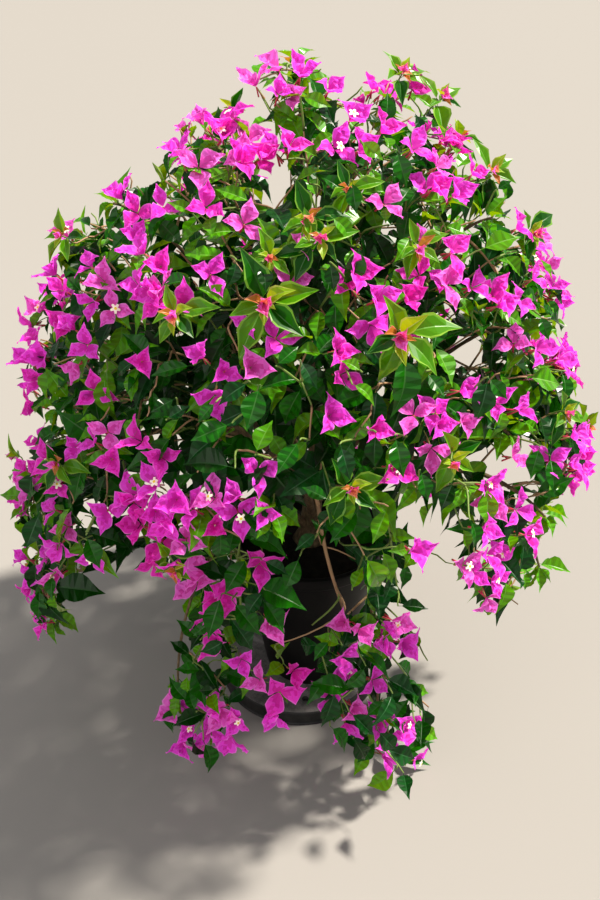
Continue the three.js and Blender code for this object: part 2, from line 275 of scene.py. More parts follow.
def makeFinishes():
    made = {}
    for tone, colour in leafTones.items():
        glow = tuple(min(255, int(v * f)) for v, f in zip(colour, (3.2, 1.9, 0.8)))
        # Every other pleat of a leaf takes a copy of its tone about a fifth lighter: painted light on the
        # pleats
        for kind, bright in (("leaf", 1), ("lit_pleat", 1.22)):
            shade = tuple(int(v * bright) for v in colour)
            leaf = Finish(f"{kind}_{tone}", shade, 0.3, 0.21, thin=0.22, glow=glow)
            leaf.give("Roughness", 0.14 + leaf.grain(55, 2) * 0.26)
            made[kind, tone] = leaf
        made["rib", tone] = Finish(f"rib_{tone}", ribTones[tone], 0.4, 0.4, thin=0.2)
    # The pale rim finishes: painted sunlight on the margins of young leaves
    for tone, colour in sunlitRimTones.items():
        made["rim", tone] = Finish(f"rim_{tone}", colour, 0.4, 0.4, thin=0.3)
    for tone, colour in bractTones.items():
        made["bract", tone] = Finish(f"bract_{tone}", colour, 0.55, 0.3, thin=0.5)
        # A darker copy of the bract's tone: painted shade at the bract's base, where the three bracts meet,
        # and the darker midvein
        half = tuple(int(v * f) for v, f in zip(colour, (0.92, 0.7, 0.84)))
        made["fold", tone] = Finish(f"bract_{tone}_half", half, 0.55, 0.3, thin=0.5)
        # A paler copy of the bract's tone along its edge: a painted highlight
        edge = tuple(int(mix(v, w, 0.42)) for v, w in zip(colour, (255, 206, 250)))
        made["edge", tone] = Finish(f"bract_{tone}_edge", edge, 0.55, 0.3, thin=0.5)
    for flower, tones in (("star", starTones), ("tube", tubeTones)):
        for kind, colour in tones.items():
            made[kind, flower] = Finish(f"flower_{kind}", colour, 0.5, 0.3)
    for tone, colour in barkTones.items():
        made["stem", tone] = Finish(f"stem_{tone}", colour, 0.6, 0.35)
    return made


# The limbs, by the source's rule
clearance = 0.3    # between pieces that touch
pot = {"shift": 12, "foot": 22.3, "top": 232.3, "rimRadius": 95, "rimBand": 16, "topRadius": 91,
       "footRadius": 56, "wall": 3, "floor": 4, "soilTop": 218.3, "soilCrown": 5, "clearAbove": 4,
       "clearRound": 5}
trunk = {"height": 96, "flare": 21, "flareShare": 0.22, "foot": 14, "top": 9.5, "lean": (6, 8),
         "upright": 0.35}
limb = {"turnWander": 5, "reachWander": 12, "heightWander": 16, "entryClear": 4, "steps": 60,
        "keptSteps": 36, "tipMargin": 20}
twig = {"length": 92, "vary": 0.15, "shorter": 0.3, "along": 0.55, "droop": 0.16, "first": 0.08,
        "last": 0.92, "rollWander": 0.5, "reach": 0.9, "startBend": 0.4, "endBend": 0.3, "endDrop": 0.5}
crown = {"top": 806, "waist": 320, "radius": 340, "roundness": 1.85, "lowest": 12}
heartShare = 0.78
tierColumns = ("carrier", "carrierShare", "count", "turns", "spring", "shoulder", "tip", "girth", "bare",
               "twigs")
tierRows = {
    "top": ("trunk", (1, 1), 1, (100, 100), (4, 120), (0, 640), (14, 792), (9, 3.4), 0.38, 6),
    "upper": ("top", (0.07, 0.3), 5, (-20, 268), (46, 100), (138, 676), (206, 672), (5.6, 3), 0.3, 5),
    "middle": ("trunk", (0.34, 0.7), 7, (-90, 218.6), (78, 135), (212, 552), (300, 486), (5.4, 3), 0.38, 4),
    "lower": ("middle", (0.19, 0.29), 5, (-28, 208), (52, 60), (318, 458), (326, 300), (4.8, 2.8), 0.5, 4),
    "skirt": ("lower", (0.42, 0.42), 4, (-12, 196), (46, 0), (316, 290), (308, 138), (3.8, 2.6), 0.3, 4),
    "cascade": ("trunk", (0.08, 0.16), 2, (-126, -61), (72, 150), (222, 330), (208, 88), (4.2, 2.4), 0.3, 6),
}
tiers = {name: dict(zip(tierColumns, row), number=i + 1) for i, (name, row) in enumerate(tierRows.items())}
tierNames = list(tiers)

trunkFoot = np.array([pot["shift"], 0, pot["soilTop"] + pot["soilCrown"] + clearance])
trunkTop = trunkFoot + np.array([*trunk["lean"], trunk["height"]])
upright = np.array([0, 0, trunk["upright"] * trunk["height"]])
trunkCurve = Curve(trunkFoot, trunkFoot + upright, trunkTop - upright, trunkTop)


def trunkRadius(share):
    flare = (trunk["flare"] - trunk["foot"]) * np.maximum(0, 1 - share / trunk["flareShare"]) ** 2
    return mix(trunk["foot"], trunk["top"], share) + flare


def archOf(tierName, index, limbs):
    tier = tiers[tierName]
    draw = seeded(1000 * tier["number"] + 97 * (index + 1))
    steps = max(tier["count"] - 1, 1)
    turn = mix(*tier["turns"], index / steps) + draw(-limb["turnWander"], limb["turnWander"])
    reach = tier["tip"][0] + draw(-limb["reachWander"], limb["reachWander"])
    tipHeight = tier["tip"][1] + draw(-limb["heightWander"], limb["heightWander"])
    share = mix(*tier["carrierShare"], (2 * index) % tier["count"] / steps)
    choices = [other for other in limbs if other["tier"] == tier["carrier"]] or limbs[:1]
    carrier = min(choices, key=lambda other: abs((other["turn"] - turn + 540) % 360 - 180))
    root = carrier["curve"].point(share)
    curve = Curve(root, root + compass(turn, *tier["spring"]), compass(turn, *tier["shoulder"]),
                  compass(turn, reach, tipHeight))
    name = f"{tierName}_{index + 1}" if tier["count"] > 1 else tierName
    return {"name": name, "tier": tierName, "turn": turn, "curve": curve, "heart": curve.point(heartShare),
            "seed": 7919 * tier["number"] + 131 * (index + 1)}


def growLimbs():
    limbs = [{"name": "trunk", "tier": "trunk", "turn": 0, "curve": trunkCurve}]
    for tierName, tier in tiers.items():
        for index in range(tier["count"]):
            limbs.append(archOf(tierName, index, limbs))
    arches = limbs[1:]
    hearts = np.array([arch["heart"] for arch in arches])
    for number, arch in enumerate(arches):
        others = np.delete(hearts, number, axis=0)
        between = others - arch["heart"]
        between /= np.linalg.norm(between, axis=1, keepdims=True)
        spots = arch["curve"].point(np.arange(limb["steps"] + 1) / limb["steps"])
        beyond = ((spots[:, None] - (others + arch["heart"]) / 2) * between).sum(axis=2).max(axis=1)
        outside = np.nonzero(beyond >= -limb["entryClear"])[0]
        entry = (outside.max() + 1 if len(outside) else 0) / limb["steps"]
        arch["entry"] = max(entry, tiers[arch["tier"]]["bare"])
    return arches


def trimLimbs():    # an arch's last stretch goes where the photograph shows no foliage round it
    for arch in arches:
        end = limb["steps"]
        while end > limb["keptSteps"]:
            if clearSpot(arch["curve"].point(end / limb["steps"]), limb["tipMargin"]):
                break
            end -= 1
        arch["end"] = end / limb["steps"]


arches = growLimbs()
print("limbs", len(arches))


def crownRadius(height):
    share = min(max((height - crown["waist"]) / (crown["top"] - crown["waist"]), 0), 1)
    return crown["radius"] * (1 - share ** crown["roundness"]) ** (1 / crown["roundness"])


# The crown's outline in the photograph's pixels, and the gaps in it: ovals, each with its middle, its half
# sizes and its tilt in degrees
outline = [(268, 38), (300, 40), (325, 62), (352, 84), (380, 70), (420, 58), (446, 92), (448, 126), (484, 138),
           (515, 170), (530, 205), (556, 222), (562, 250), (598, 272), (590, 330), (580, 400), (600, 440),
           (600, 480), (560, 496), (545, 520), (545, 556), (524, 604), (480, 628), (452, 612), (440, 620),
           (446, 660), (432, 700), (446, 745), (444, 782), (400, 806), (362, 804), (352, 770), (330, 745),
           (250, 745), (236, 784), (196, 790), (150, 762), (155, 700), (168, 650), (165, 580), (112, 575),
           (112, 606), (45, 632), (10, 600), (0, 560), (0, 470), (24, 448), (50, 420), (14, 400), (2, 360),
           (26, 330), (2, 300), (30, 262), (34, 206), (72, 200), (104, 216), (124, 180), (150, 166),
           (176, 132), (200, 104), (250, 100), (244, 72)]
gaps = [(125, 650, 62, 88, 0), (436, 585, 26, 66, 0), (270, 158, 17, 42, -18), (318, 204, 19, 13, 0),
        (508, 462, 34, 26, 0), (466, 350, 24, 19, 0), (545, 334, 36, 9, 0), (331, 588, 35, 42, 0),
        (215, 560, 4, 4, 0)]


def insideOutline(x, y):
    crossings = False
    for (ax, ay), (bx, by) in zip(outline, outline[1:] + outline[:1]):
        if (ay > y) != (by > y) and x < (bx - ax) * (y - ay) / (by - ay) + ax:
            crossings = not crossings
    return crossings


def inGap(x, y):
    for middleX, middleY, wide, high, tilt in gaps:
        angle = math.radians(tilt)
        across = (x - middleX) * math.cos(angle) + (y - middleY) * math.sin(angle)
        along = (y - middleY) * math.cos(angle) - (x - middleX) * math.sin(angle)
        if (across / wide) ** 2 + (along / high) ** 2 < 1:
            return True
    return False


# The sides and back that the photograph doesn't show are as uneven as the front: hollows between the sprays
hollows = {"depth": 0.2, "scale": 0.0085, "from": -0.1, "to": 0.34, "behind": (-60, 90), "ragged": 190}


def crownEdge(x, y, z):
    hollow = smooth(hollows["from"], hollows["to"], noise.noise(Vector((x, y, z)) * hollows["scale"]))
    return crownRadius(z) * (1 - hollows["depth"] * hollow * smooth(*hollows["behind"], y))


def clearSpot(spot, margin=0):
    x, y, z = spot
    if z < crown["lowest"] or math.hypot(x, y) > crownEdge(x, y, z) - margin:
        return False
    low = z < pot["top"] + pot["clearAbove"]
    if low and math.hypot(x - pot["shift"], y) < pot["rimRadius"] + pot["clearRound"]:
        return False
    px, py = pixelOf(spot)
    return insideOutline(px, py) and not inGap(px, py)


# Forms that are repeated: a few dozen faces each
def gridForm(columns, rows, shape, kinds):
    bm = bmesh.new()
    bmesh.ops.create_grid(bm, x_segments=len(columns) - 1, y_segments=len(rows) - 1, size=0.5)
    for face in bm.faces:
        middle = face.calc_center_median()
        row = kinds[int((middle.y + 0.5) * (len(rows) - 1)) % len(kinds)]
        face.material_index = row[int((middle.x + 0.5) * (len(columns) - 1))]
    for vert in bm.verts:
        number = round((vert.co.y + 0.5) * (len(rows) - 1))
        vert.co = Vector(shape(columns[round((vert.co.x + 0.5) * (len(columns) - 1))], rows[number], number))
    bmesh.ops.remove_doubles(bm, verts=bm.verts, dist=1e-4)
    return bm


def formOf(bm):    # a bmesh as arrays, which a pile can copy many times
    bm.verts.index_update()
    form = {"spots": np.array([vert.co for vert in bm.verts])}
    for corners in (3, 4):
        faces = [face for face in bm.faces if len(face.verts) == corners]
        table = [[vert.index for vert in face.verts] for face in faces]
        form[corners] = np.array(table, int).reshape(-1, corners)
        form[-corners] = np.array([face.material_index for face in faces], int)
    bm.free()
    return form


# A leaf is one long, its stalk included, and pleated between its side veins, which its rows follow
leafForm = {"halfWidth": 0.222, "stalk": 0.13, "stalkHalf": 0.008, "rib": 0.05, "slant": 0.5, "pleat": 0.011,
            "baseCurve": 0.66, "tipCurve": 1.05, "fullest": 0.315, "taper": 0.5, "tapered": (0.5, 0.92),
            "waves": 8, "waveSlant": 1.5, "droopCurve": 2.2, "shorter": 0.2,
            "rows": (0, 0.13, 0.19, 0.28, 0.37, 0.46, 0.55, 0.64, 0.74, 0.87, 1)}
leafLooks = [(0.35, 0.18, 0.14, 0.1), (0.5, 0.3, -0.18, -0.15), (0.25, 0.42, 0.22, 0.2),
             (0.8, 0.25, 0.14, -0.3), (0.45, 0.55, -0.16, 0.35), (0.3, 0.1, 0.24, 0),
             (0.65, 0.72, 0.16, -0.1)]    # fold, droop, wave and twist


def leafShape(fold, droop, wave, twist):
    stalk = leafForm["stalk"]

    def shape(across, along, number):
        share = max((along - stalk) / (1 - stalk), 0)
        half = leafForm["halfWidth"] * share ** leafForm["baseCurve"] * (1 - share) ** leafForm["tipCurve"]
        half /= leafForm["fullest"]
        half *= 1 - leafForm["taper"] * smooth(*leafForm["tapered"], share)
        half = max(half, leafForm["stalkHalf"] * (1 - share))
        x = across * half
        z = fold * abs(x) - droop * along ** leafForm["droopCurve"]
        if 0 < share < 1:
            edge = wave * math.sin(leafForm["waves"] * along + leafForm["waveSlant"] * across) * abs(x)
            z += edge + leafForm["pleat"] * (-1) ** number * abs(across)
        turn = twist * along
        y = along * (1 - leafForm["shorter"] * droop * along) + leafForm["slant"] * abs(x) * (1 - along)
        return x * math.cos(turn) - z * math.sin(turn), y, z * math.cos(turn) + x * math.sin(turn)

    return shape


def makeLeafForms():
    columns = (-1, -leafForm["rib"], leafForm["rib"], 1)
    # The lighter copy (kind 2) goes on every other row: painted light on alternate pleats
    kinds = ((0, 1, 0), (2, 1, 2))
    return [formOf(gridForm(columns, leafForm["rows"], leafShape(*look), kinds)) for look in leafLooks]


def makeLitRimForms():    # a young leaf in the sun, with a pale rim of painted sunlight
    columns = (-1, -0.8, -leafForm["rib"], leafForm["rib"], 0.8, 1)
    rows = leafForm["rows"][:2] + leafForm["rows"][2::2]
    return [formOf(gridForm(columns, rows, leafShape(*look), ((2, 0, 1, 0, 2),))) for look in leafLooks[:4]]


# A bract is one long, pointed, creased along its middle and crumpled, and a paler copy of its tone along its
# edge paints a highlight there
bractForm = {"halfWidth": 0.345, "crumple": 0.055, "crinkle": 0.03, "ragged": 0.06, "raggedWave": (9, 2),
             "crumpleWave": (8, 2.2), "crinkleWave": (2.4, 3.6), "baseCurve": 0.85, "fullest": 0.279,
             "taper": 0.5, "tapered": (0.5, 0.88), "stalkHalf": 0.03, "flatRoot": 3, "slant": 0.25,
             "rows": (0, 0.1, 0.24, 0.38, 0.52, 0.66, 0.8, 0.91, 1),
             "columns": (-1, -0.88, -0.44, 0, 0.44, 0.88, 1),
             # Kinds: 0 the bract's tone, 1 the darker copy (painted shade at the base, and the midvein), 2 the
             # paler copy at the edge (a painted highlight)
             "kinds": ((1, 1, 1, 1, 1, 1), (2, 1, 1, 1, 1, 2), (2, 0, 1, 1, 0, 2), (2, 0, 1, 0, 0, 2),
                       (2, 0, 0, 1, 0, 2), (2, 0, 1, 0, 0, 2), (2, 0, 0, 1, 0, 2), (2, 2, 0, 0, 2, 2))}
bractLooks = [(0.35, 0.2, 0.05, 0.03, 0), (0.5, 0.35, 0.12, -0.06, 2), (0.25, -0.15, 0.18, 0.08, 4),
              (0.6, 0.4, 0.02, 0, 1), (0.2, 0.3, 0.2, -0.03, 3), (0.4, 0.3, -0.15, 0.05, 5)]


def bractShape(keel, cup, curl, skew, phase):
    def shape(across, along, number):
        lengthwise, crosswise = bractForm["raggedWave"]
        ragged = bractForm["ragged"] * math.sin(lengthwise * along + phase + crosswise * across)
        half = bractForm["halfWidth"] * along ** bractForm["baseCurve"] * (1 - along) / bractForm["fullest"]
        half *= (1 - bractForm["taper"] * smooth(*bractForm["tapered"], along)) * (1 + ragged)
        x = across * max(half, bractForm["stalkHalf"] * (1 - along))
        lengthwise, crosswise = bractForm["crumpleWave"]
        crease = bractForm["crumple"] * math.sin(lengthwise * along + crosswise * across + phase)
        lengthwise, crosswise = bractForm["crinkleWave"]
        crease += bractForm["crinkle"] * math.sin(lengthwise * number + crosswise * across + phase)
        z = keel * abs(x) + cup * along * (1 - along) - curl * along ** 3
        z += crease * min(1, bractForm["flatRoot"] * along)
        return x + skew * along ** 2, along + bractForm["slant"] * abs(x) * (1 - along), z

    return shape


def makeBractForms():
    rows, columns, kinds = bractForm["rows"], bractForm["columns"], bractForm["kinds"]
    return [formOf(gridForm(columns, rows, bractShape(*look), kinds)) for look in bractLooks]


def makeStarForm():    # a cream star of five broad lobes with a yellow eye
    bm = bmesh.new()
    bmesh.ops.create_cone(bm, cap_ends=True, cap_tris=True, segments=15, radius1=0.5, radius2=0.14, depth=0.1)
    bmesh.ops.delete(bm, geom=[vert for vert in bm.verts if vert.co.z < 0 and vert.co.xy.length < 0.1],
                     context="VERTS")
    for vert in bm.verts:
        if vert.co.z < 0:
            notch = round(math.atan2(vert.co.y, vert.co.x) / (2 * math.pi / 15)) % 3 == 0
            vert.co.xy *= 0.5 if notch else 1
            vert.co.z = 0.1 if notch else 0.16
    for face in bm.faces:
        face.material_index = 1 if face.calc_center_median().xy.length < 0.13 else 0
    return formOf(bm)


def makeTubeForm():    # a closed flower tube, swollen at its tip
    bm = bmesh.new()
    bmesh.ops.create_cone(bm, cap_ends=True, cap_tris=True, segments=5, radius1=0.06, radius2=0.09, depth=1)
    bmesh.ops.translate(bm, verts=bm.verts, vec=(0, 0, 0.5))
    for vert in bm.verts:
        if abs(vert.co.z - 1) < 1e-3 and math.hypot(vert.co.x, vert.co.y) < 0.01:
            vert.co.z = 1.12
    for face in bm.faces:
        face.material_index = 1 if face.calc_center_median().z > 0.9 else 0
    return formOf(bm)


nearFloor = {"below": 90, "gap": 1.5}    # a copy that would come closer to the floor than the gap is left out


class Pile:    # many copies of a few small forms, joined in one mesh
    def __init__(self, forms, kinds, rounded=True):
        self.forms = forms
        self.kinds = kinds
        self.rounded = rounded
        self.copies = {}

    def add(self, tier, form, place, along, face, size, tone, width=1.0):
        side = unit(np.cross(along, face))
        up = np.cross(side, along)
        turn = np.array([side * width, along, up]).T * size
        if place[2] < nearFloor["below"]:
            lowest = (self.forms[form]["spots"] @ turn.T)[:, 2].min() + place[2]
            if lowest < nearFloor["gap"]:
                return
        self.copies.setdefault(tier, []).append((form, turn, place, tone))

    def count(self):
        return sum(len(rows) for rows in self.copies.values())

    def write(self, name, tier, finishes):
        rows = self.copies[tier]
        slots = {}
        spots, faces, marks = [], {3: [], 4: []}, {3: [], 4: []}
        start = 0
        for number, form in enumerate(self.forms):
            mine = [row for row in rows if row[0] == number]
            if not mine:
                continue
            turns = np.array([row[1] for row in mine])
            places = np.array([row[2] for row in mine])
            own = np.einsum("kij,nj->kni", turns, form["spots"]) + places[:, None]
            spots.append(own.reshape(-1, 3))
            offsets = start + np.arange(len(mine)) * len(form["spots"])
            start += own.shape[0] * own.shape[1]
            for row in mine:
                for kind in self.kinds:
                    slots.setdefault((kind, row[3]), len(slots))
            table = np.array([[slots[kind, row[3]] for kind in self.kinds] for row in mine])
            for corners in (3, 4):
                faces[corners].append((form[corners][None] + offsets[:, None, None]).reshape(-1, corners))
                marks[corners].append(table[:, form[-corners]].reshape(-1))
        allFaces = [face for corners in (3, 4) for block in faces[corners] for face in block.tolist()]
        allMarks = np.concatenate([mark for corners in (3, 4) for mark in marks[corners]])
        used = [finishes[slot] for slot in slots]
        return addPiece(name, meshOf(name, np.concatenate(spots), allFaces, used, allMarks, self.rounded))


def meshOf(name, spots, faces, used=(), marks=None, rounded=True):    # spots in millimetres
    mesh = bpy.data.meshes.new(name)
    mesh.from_pydata((spots * mm).tolist(), [], faces)
    for finish in used:
        mesh.materials.append(finish.material)
    if marks is not None:    # which finish each face takes
        mesh.polygons.foreach_set("material_index", marks.astype(np.int32))
    mesh.polygons.foreach_set("use_smooth", np.full(len(faces), rounded))
    mesh.update()
    return mesh


def addPiece(name, mesh):
    piece = bpy.data.objects.new(name, mesh)
    bpy.context.scene.collection.objects.link(piece)
    return piece


# Stems: a round bar whose rings are carried onto each curve
def barForm(sides, rings):
    bm = bmesh.new()
    bmesh.ops.create_cone(bm, cap_ends=True, cap_tris=False, segments=sides, radius1=1, radius2=1, depth=1)
    long = [edge for edge in bm.edges if abs(edge.verts[0].co.z - edge.verts[1].co.z) > 0.5]
    bmesh.ops.subdivide_edges(bm, edges=long, cuts=rings - 2, use_grid_fill=True)
    bm.verts.index_update()
    bar = {
        "spots": np.array([vert.co for vert in bm.verts]) + (0, 0, 0.5),
        "faces": [[vert.index for vert in face.verts] for face in bm.faces],
        "rings": rings,
    }
    bm.free()
    return bar


def framesAlong(curve, shares):
    tangents = curve.tangent(shares)
    across = sideways(tangents[0], 0)
    sides = []
    for tangent in tangents:
        across = unit(across - tangent * (across @ tangent))
        sides.append(across)
    sides = np.array(sides)
    return sides, np.cross(tangents, sides)


def carried(bar, curve, radii):    # the bar's spots, laid along the curve
    shares = np.linspace(0, 1, bar["rings"])
    rings = np.rint(bar["spots"][:, 2] * (bar["rings"] - 1)).astype(int)
    across, over = framesAlong(curve, shares)
    middle = curve.point(shares)
    radii = np.asarray(radii)[rings][:, None]
    flat = bar["spots"]
    return middle[rings] + radii * (flat[:, 0:1] * across[rings] + flat[:, 1:2] * over[rings])


class Wood:    # every stem of the plant, and the places on it that can carry more
    def __init__(self):
        self.stems = {}
        self.spots = np.zeros((0, 3))
        self.arms = np.zeros((0, 3))
        self.tiers = np.zeros(0, int)

    def add(self, tier, curve, root, tip, tone, carries=True, drawn=True):
        if drawn:
            self.stems.setdefault(tier, []).append((curve, root, tip, tone))
        if carries:
            shares = np.linspace(0.15, 1, max(3, int(curve.length() / 9)))
            self.spots = np.concatenate([self.spots, curve.point(shares)])
            self.arms = np.concatenate([self.arms, curve.tangent(shares)])
            self.tiers = np.concatenate([self.tiers, np.full(len(shares), tierNames.index(tier))])

    def nearest(self, target, outward):
        arms = target - self.spots
        away = np.linalg.norm(arms, axis=1)
        cost = away * (1.35 - 0.6 * (arms @ outward) / np.maximum(away, 1)) + np.maximum(0, 24 - away) * 3
        found = int(np.argmin(cost))
        return self.spots[found], self.arms[found], tierNames[self.tiers[found]], away[found]

    def write(self, name, tier, bar, finishes):
        rows = self.stems[tier]
        shares = np.linspace(0, 1, bar["rings"])
        spots = [carried(bar, curve, mix(root, tip, shares)) for curve, root, tip, _ in rows]
        tones = sorted({row[3] for row in rows})
        count = len(bar["spots"])
        faces = [[corner + i * count for corner in face] for i in range(len(rows)) for face in bar["faces"]]
        marks = np.repeat([tones.index(row[3]) for row in rows], len(bar["faces"]))
        used = [finishes["stem", tone] for tone in tones]
        return addPiece(name, meshOf(name, np.concatenate(spots), faces, used, marks))


# Foliage
spray = {"pitch": 17, "along": 0.55, "sag": 0.45, "sagVary": (0.3, 1.6), "outward": 0.25, "tries": 4,
         "tryTurn": 0.9, "tryShorter": 0.08, "faceUp": 0.75, "faceOut": 0.6, "faceRoll": 0.35,
         "vary": (0.85, 1.15), "leaf": (40, 74), "innerLeaf": 74, "first": 0.3, "last": 0.99,
         "tipScale": 0.72, "freshTips": 0.35}
foliage = Pile(makeLeafForms(), ("leaf", "rib", "lit_pleat"), False)
litRimmed = Pile(makeLitRimForms(), ("leaf", "rib", "rim"), False)
wood = Wood()
dice = random.Random(20261126)


def addLeaf(tier, place, along, outward, size, tone, roll):
    for tries in range(spray["tries"]):
        side = sideways(along, roll + spray["tryTurn"] * tries)
        arm = along * spray["along"] + side
        arm[2] -= spray["sag"] * dice.uniform(*spray["sagVary"])
        arm = unit(arm + outward * spray["outward"])
        length = size * (1 - spray["tryShorter"] * tries)
        if clearSpot(place + arm * length) and clearSpot(place + arm * length * 0.5):
            turned = sideways(arm, dice.uniform(0, 6.3)) * spray["faceRoll"]
            face = unit(np.array([0, 0, spray["faceUp"]]) + outward * spray["faceOut"] + turned)
            if abs(face @ arm) > 0.97:    # almost along the leaf
                face = sideways(arm, 0)
            form = dice.randrange(len(foliage.forms))
            foliage.add(tier, form, place, arm, face, length, tone, dice.uniform(*spray["vary"]))
            return


def dressTwig(tier, curve, outward, tone, size, first, pitch):
    run = curve.length()
    count = max(2, int(run * (1 - first) / pitch))
    roll = dice.uniform(0, 2 * math.pi)
    for number in range(count):
        share = mix(first, spray["last"], number / max(count - 1, 1))
        young = number >= count - 1 and dice.random() < spray["freshTips"]
        scale = mix(1.0, spray["tipScale"], share) * dice.uniform(*spray["vary"])
        leafTone = "fresh" if young else tone
        addLeaf(tier, curve.point(share), curve.tangent(share), outward, size * scale, leafTone, roll)
        roll += goldenTurn


facing = {"level": 330, "height": 480, "rise": 300, "least": 25}    # sprays look up more towards the top


def outwardAt(spot):
    flat = np.array([spot[0], spot[1], 0.0])
    rise = max(0.0, (spot[2] - facing["level"]) / facing["height"]) * facing["rise"]
    return unit(flat + np.array([0, 0, rise + facing["least"]]))


arching = {"least": 6, "follow": 0.6, "startBend": 0.33, "endBend": 0.3, "rise": 0.12, "steep": -0.5}


def twigTo(target, outward, root, tip, tone, reach=170, carries=True):
    start, arm, tier, away = wood.nearest(target, outward)
    if away > reach or away < arching["least"]:
        return None
    end = target - outward * arching["endBend"] * away * (1 if outward[2] > arching["steep"] else 0)
    end[2] += arching["rise"] * away
    bent = start + unit(arm * arching["follow"] + outward) * arching["startBend"] * away
    curve = Curve(start, bent, end, target)
    wood.add(tier, curve, root, tip, tone, carries)
    return tier, curve


tuft = {"leaves": 7, "size": (22, 40), "step": 0.015, "out": 0.7}


def addTuft(tier, curve, tone):    # small leaves round a limb's tip, so that none ends bare
    along = curve.tangent(1)
    for number in range(tuft["leaves"]):
        share = number / (tuft["leaves"] - 1)
        side = sideways(along, number * goldenTurn)
        arm = unit(along * mix(1.0, 0.2, share) + side * tuft["out"])
        size = mix(*tuft["size"], share)
        place = curve.point(1 - tuft["step"] * number)
        if inReach(place + arm * size):
            face = unit(outwardAt(place) * 0.7 + side * 0.3 - arm * 0.2 + (0, 0, 0.5))
            foliage.add(tier, dice.randrange(len(foliage.forms)), place, arm, face, size, tone)


def growMasses():
    for arch in arches:
        tier = tiers[arch["tier"]]
        draw = seeded(arch["seed"])
        stem = arch["curve"].part(arch["entry"], max(arch["end"], arch["entry"] + 0.05))
        carrying = arch["curve"].part(min(0.25, arch["entry"] * 0.6), arch["end"])
        wood.add(arch["tier"], carrying, 0, 0, "tan", drawn=False)
        dressTwig(arch["tier"], stem, outwardAt(stem.point(0.7)), "mid", 60, 0.15, 24)
        addTuft(arch["tier"], stem, "fresh")
        roll = draw(0, 2 * math.pi)
        for number in range(tier["twigs"]):
            share = mix(twig["first"], twig["last"], number / tier["twigs"])
            along = stem.tangent(share)
            direction = unit(twig["along"] * along + sideways(along, roll))
            length = twig["length"] * draw(1 - twig["vary"], 1 + twig["vary"]) * (1 - twig["shorter"] * share)
            draw(-twig["rollWander"], twig["rollWander"])
            roll += goldenTurn
            start = stem.point(share)
            end = start + direction * length * twig["reach"] - np.array([0, 0, twig["droop"] * length])
            if not clearSpot(end):
                continue
            bent = start + direction * length * twig["startBend"]
            hung = end - unit(direction - (0, 0, twig["endDrop"])) * length * twig["endBend"]
            curve = Curve(start, bent, hung, end)
            wood.add(arch["tier"], curve, 1.5, 0.9, "tan")
            tone = dice.choice(("mid", "deep", "cool"))
            dressTwig(arch["tier"], curve, outwardAt(end), tone, 62, 0.3, 20)


# The crown's shell is filled in layers, from the inside out. The lower edge is high in front, over the pot
shell = {"layers": [(0.4, 62), (0.55, 56), (0.7, 52), (0.84, 46), (0.96, 39)], "middle": 400,
         "frontEdge": 440, "sideEdge": 120, "frontWide": (34, 74), "smaller": (0.74, 470, 740),
         "sunny": (0.14, 0.36), "inset": 8, "turnWander": 3, "heightWander": 12, "innerRise": 160}


def lowerEdge(turn):
    off = abs((turn + 90 + 540) % 360 - 180)
    around = compass(turn, 1.7, 7)
    rise = hollows["ragged"] * smooth(-0.2, 0.5, noise.noise(Vector(around))) * smooth(-0.2, 0.4, around[1])
    return mix(shell["frontEdge"], shell["sideEdge"] + rise, smooth(*shell["frontWide"], off))


def shellTargets(scale, pitch):
    heights = np.linspace(crown["top"] - 2, shell["sideEdge"], 400)
    radii = np.array([crownRadius(height) for height in heights])
    bands = np.hypot(np.diff(heights), np.diff(radii)) * math.pi * (radii[1:] + radii[:-1])
    area = np.concatenate([[0], np.cumsum(bands)])
    count = int(area[-1] * scale ** 2 / pitch ** 2)
    for number in range(count):
        done = area[-1] * (number + 0.5) / count
        height = float(np.interp(done, area, heights))
        radius = float(np.interp(done, area, radii)) * scale
        turn = math.degrees(number * goldenTurn) % 360 - 180
        if height < lowerEdge(turn) + (1 - scale) * shell["innerRise"]:
            continue
        height -= (1 - scale) * max(0.0, height - shell["middle"])
        turn += dice.uniform(-shell["turnWander"], shell["turnWander"])
        height += dice.uniform(-shell["heightWander"], shell["heightWander"])
        yield compass(turn, radius - shell["inset"], height)


def fillCrown():
    for scale, pitch in shell["layers"]:
        grown = 0
        for target in shellTargets(scale, pitch):
            if not clearSpot(target, 6):
                continue
            outward = outwardAt(target)
            found = twigTo(target, outward, 1.9 - 0.9 * scale, 0.75, dice.choice(("tan", "tan", "green")))
            if not found:
                continue
            high = smooth(*shell["smaller"][1:], target[2])
            size = spray["innerLeaf"]
            tone = "deep"
            if scale > 0.8:    # the top's leaves are smaller, and more of them are sunlit
                size = dice.uniform(*spray["leaf"]) * mix(1, shell["smaller"][0], high)
                shares = (0.26, 0.38, 0.12, mix(*shell["sunny"], high))
                tone = dice.choices(("deep", "mid", "cool", "fresh"), shares)[0]
            dressTwig(found[0], found[1], outward, tone, size, spray["first"], spray["pitch"])
            grown += 1
        print("crown layer", scale, grown)


cascade = {"twigs": 46, "from": 0.42, "away": (28, 62), "ahead": 24, "reach": 110, "leaf": 54, "first": 0.4}


def fillCascades():
    for arch in arches:
        if arch["tier"] != "cascade":
            continue
        for number in range(cascade["twigs"]):
            share = mix(cascade["from"], 1, number / cascade["twigs"])
            middle = arch["curve"].point(share)
            along = arch["curve"].tangent(share)
            side = sideways(along, number * goldenTurn) * dice.uniform(*cascade["away"])
            target = middle + side + along * cascade["ahead"]
            if clearSpot(target):
                outward = outwardAt(target)
                found = twigTo(target, outward, 1.2, 0.75, "green", cascade["reach"])
                if found:
                    tone = dice.choice(("mid", "deep", "cool"))
                    dressTwig(*found, outward, tone, cascade["leaf"], cascade["first"], spray["pitch"])


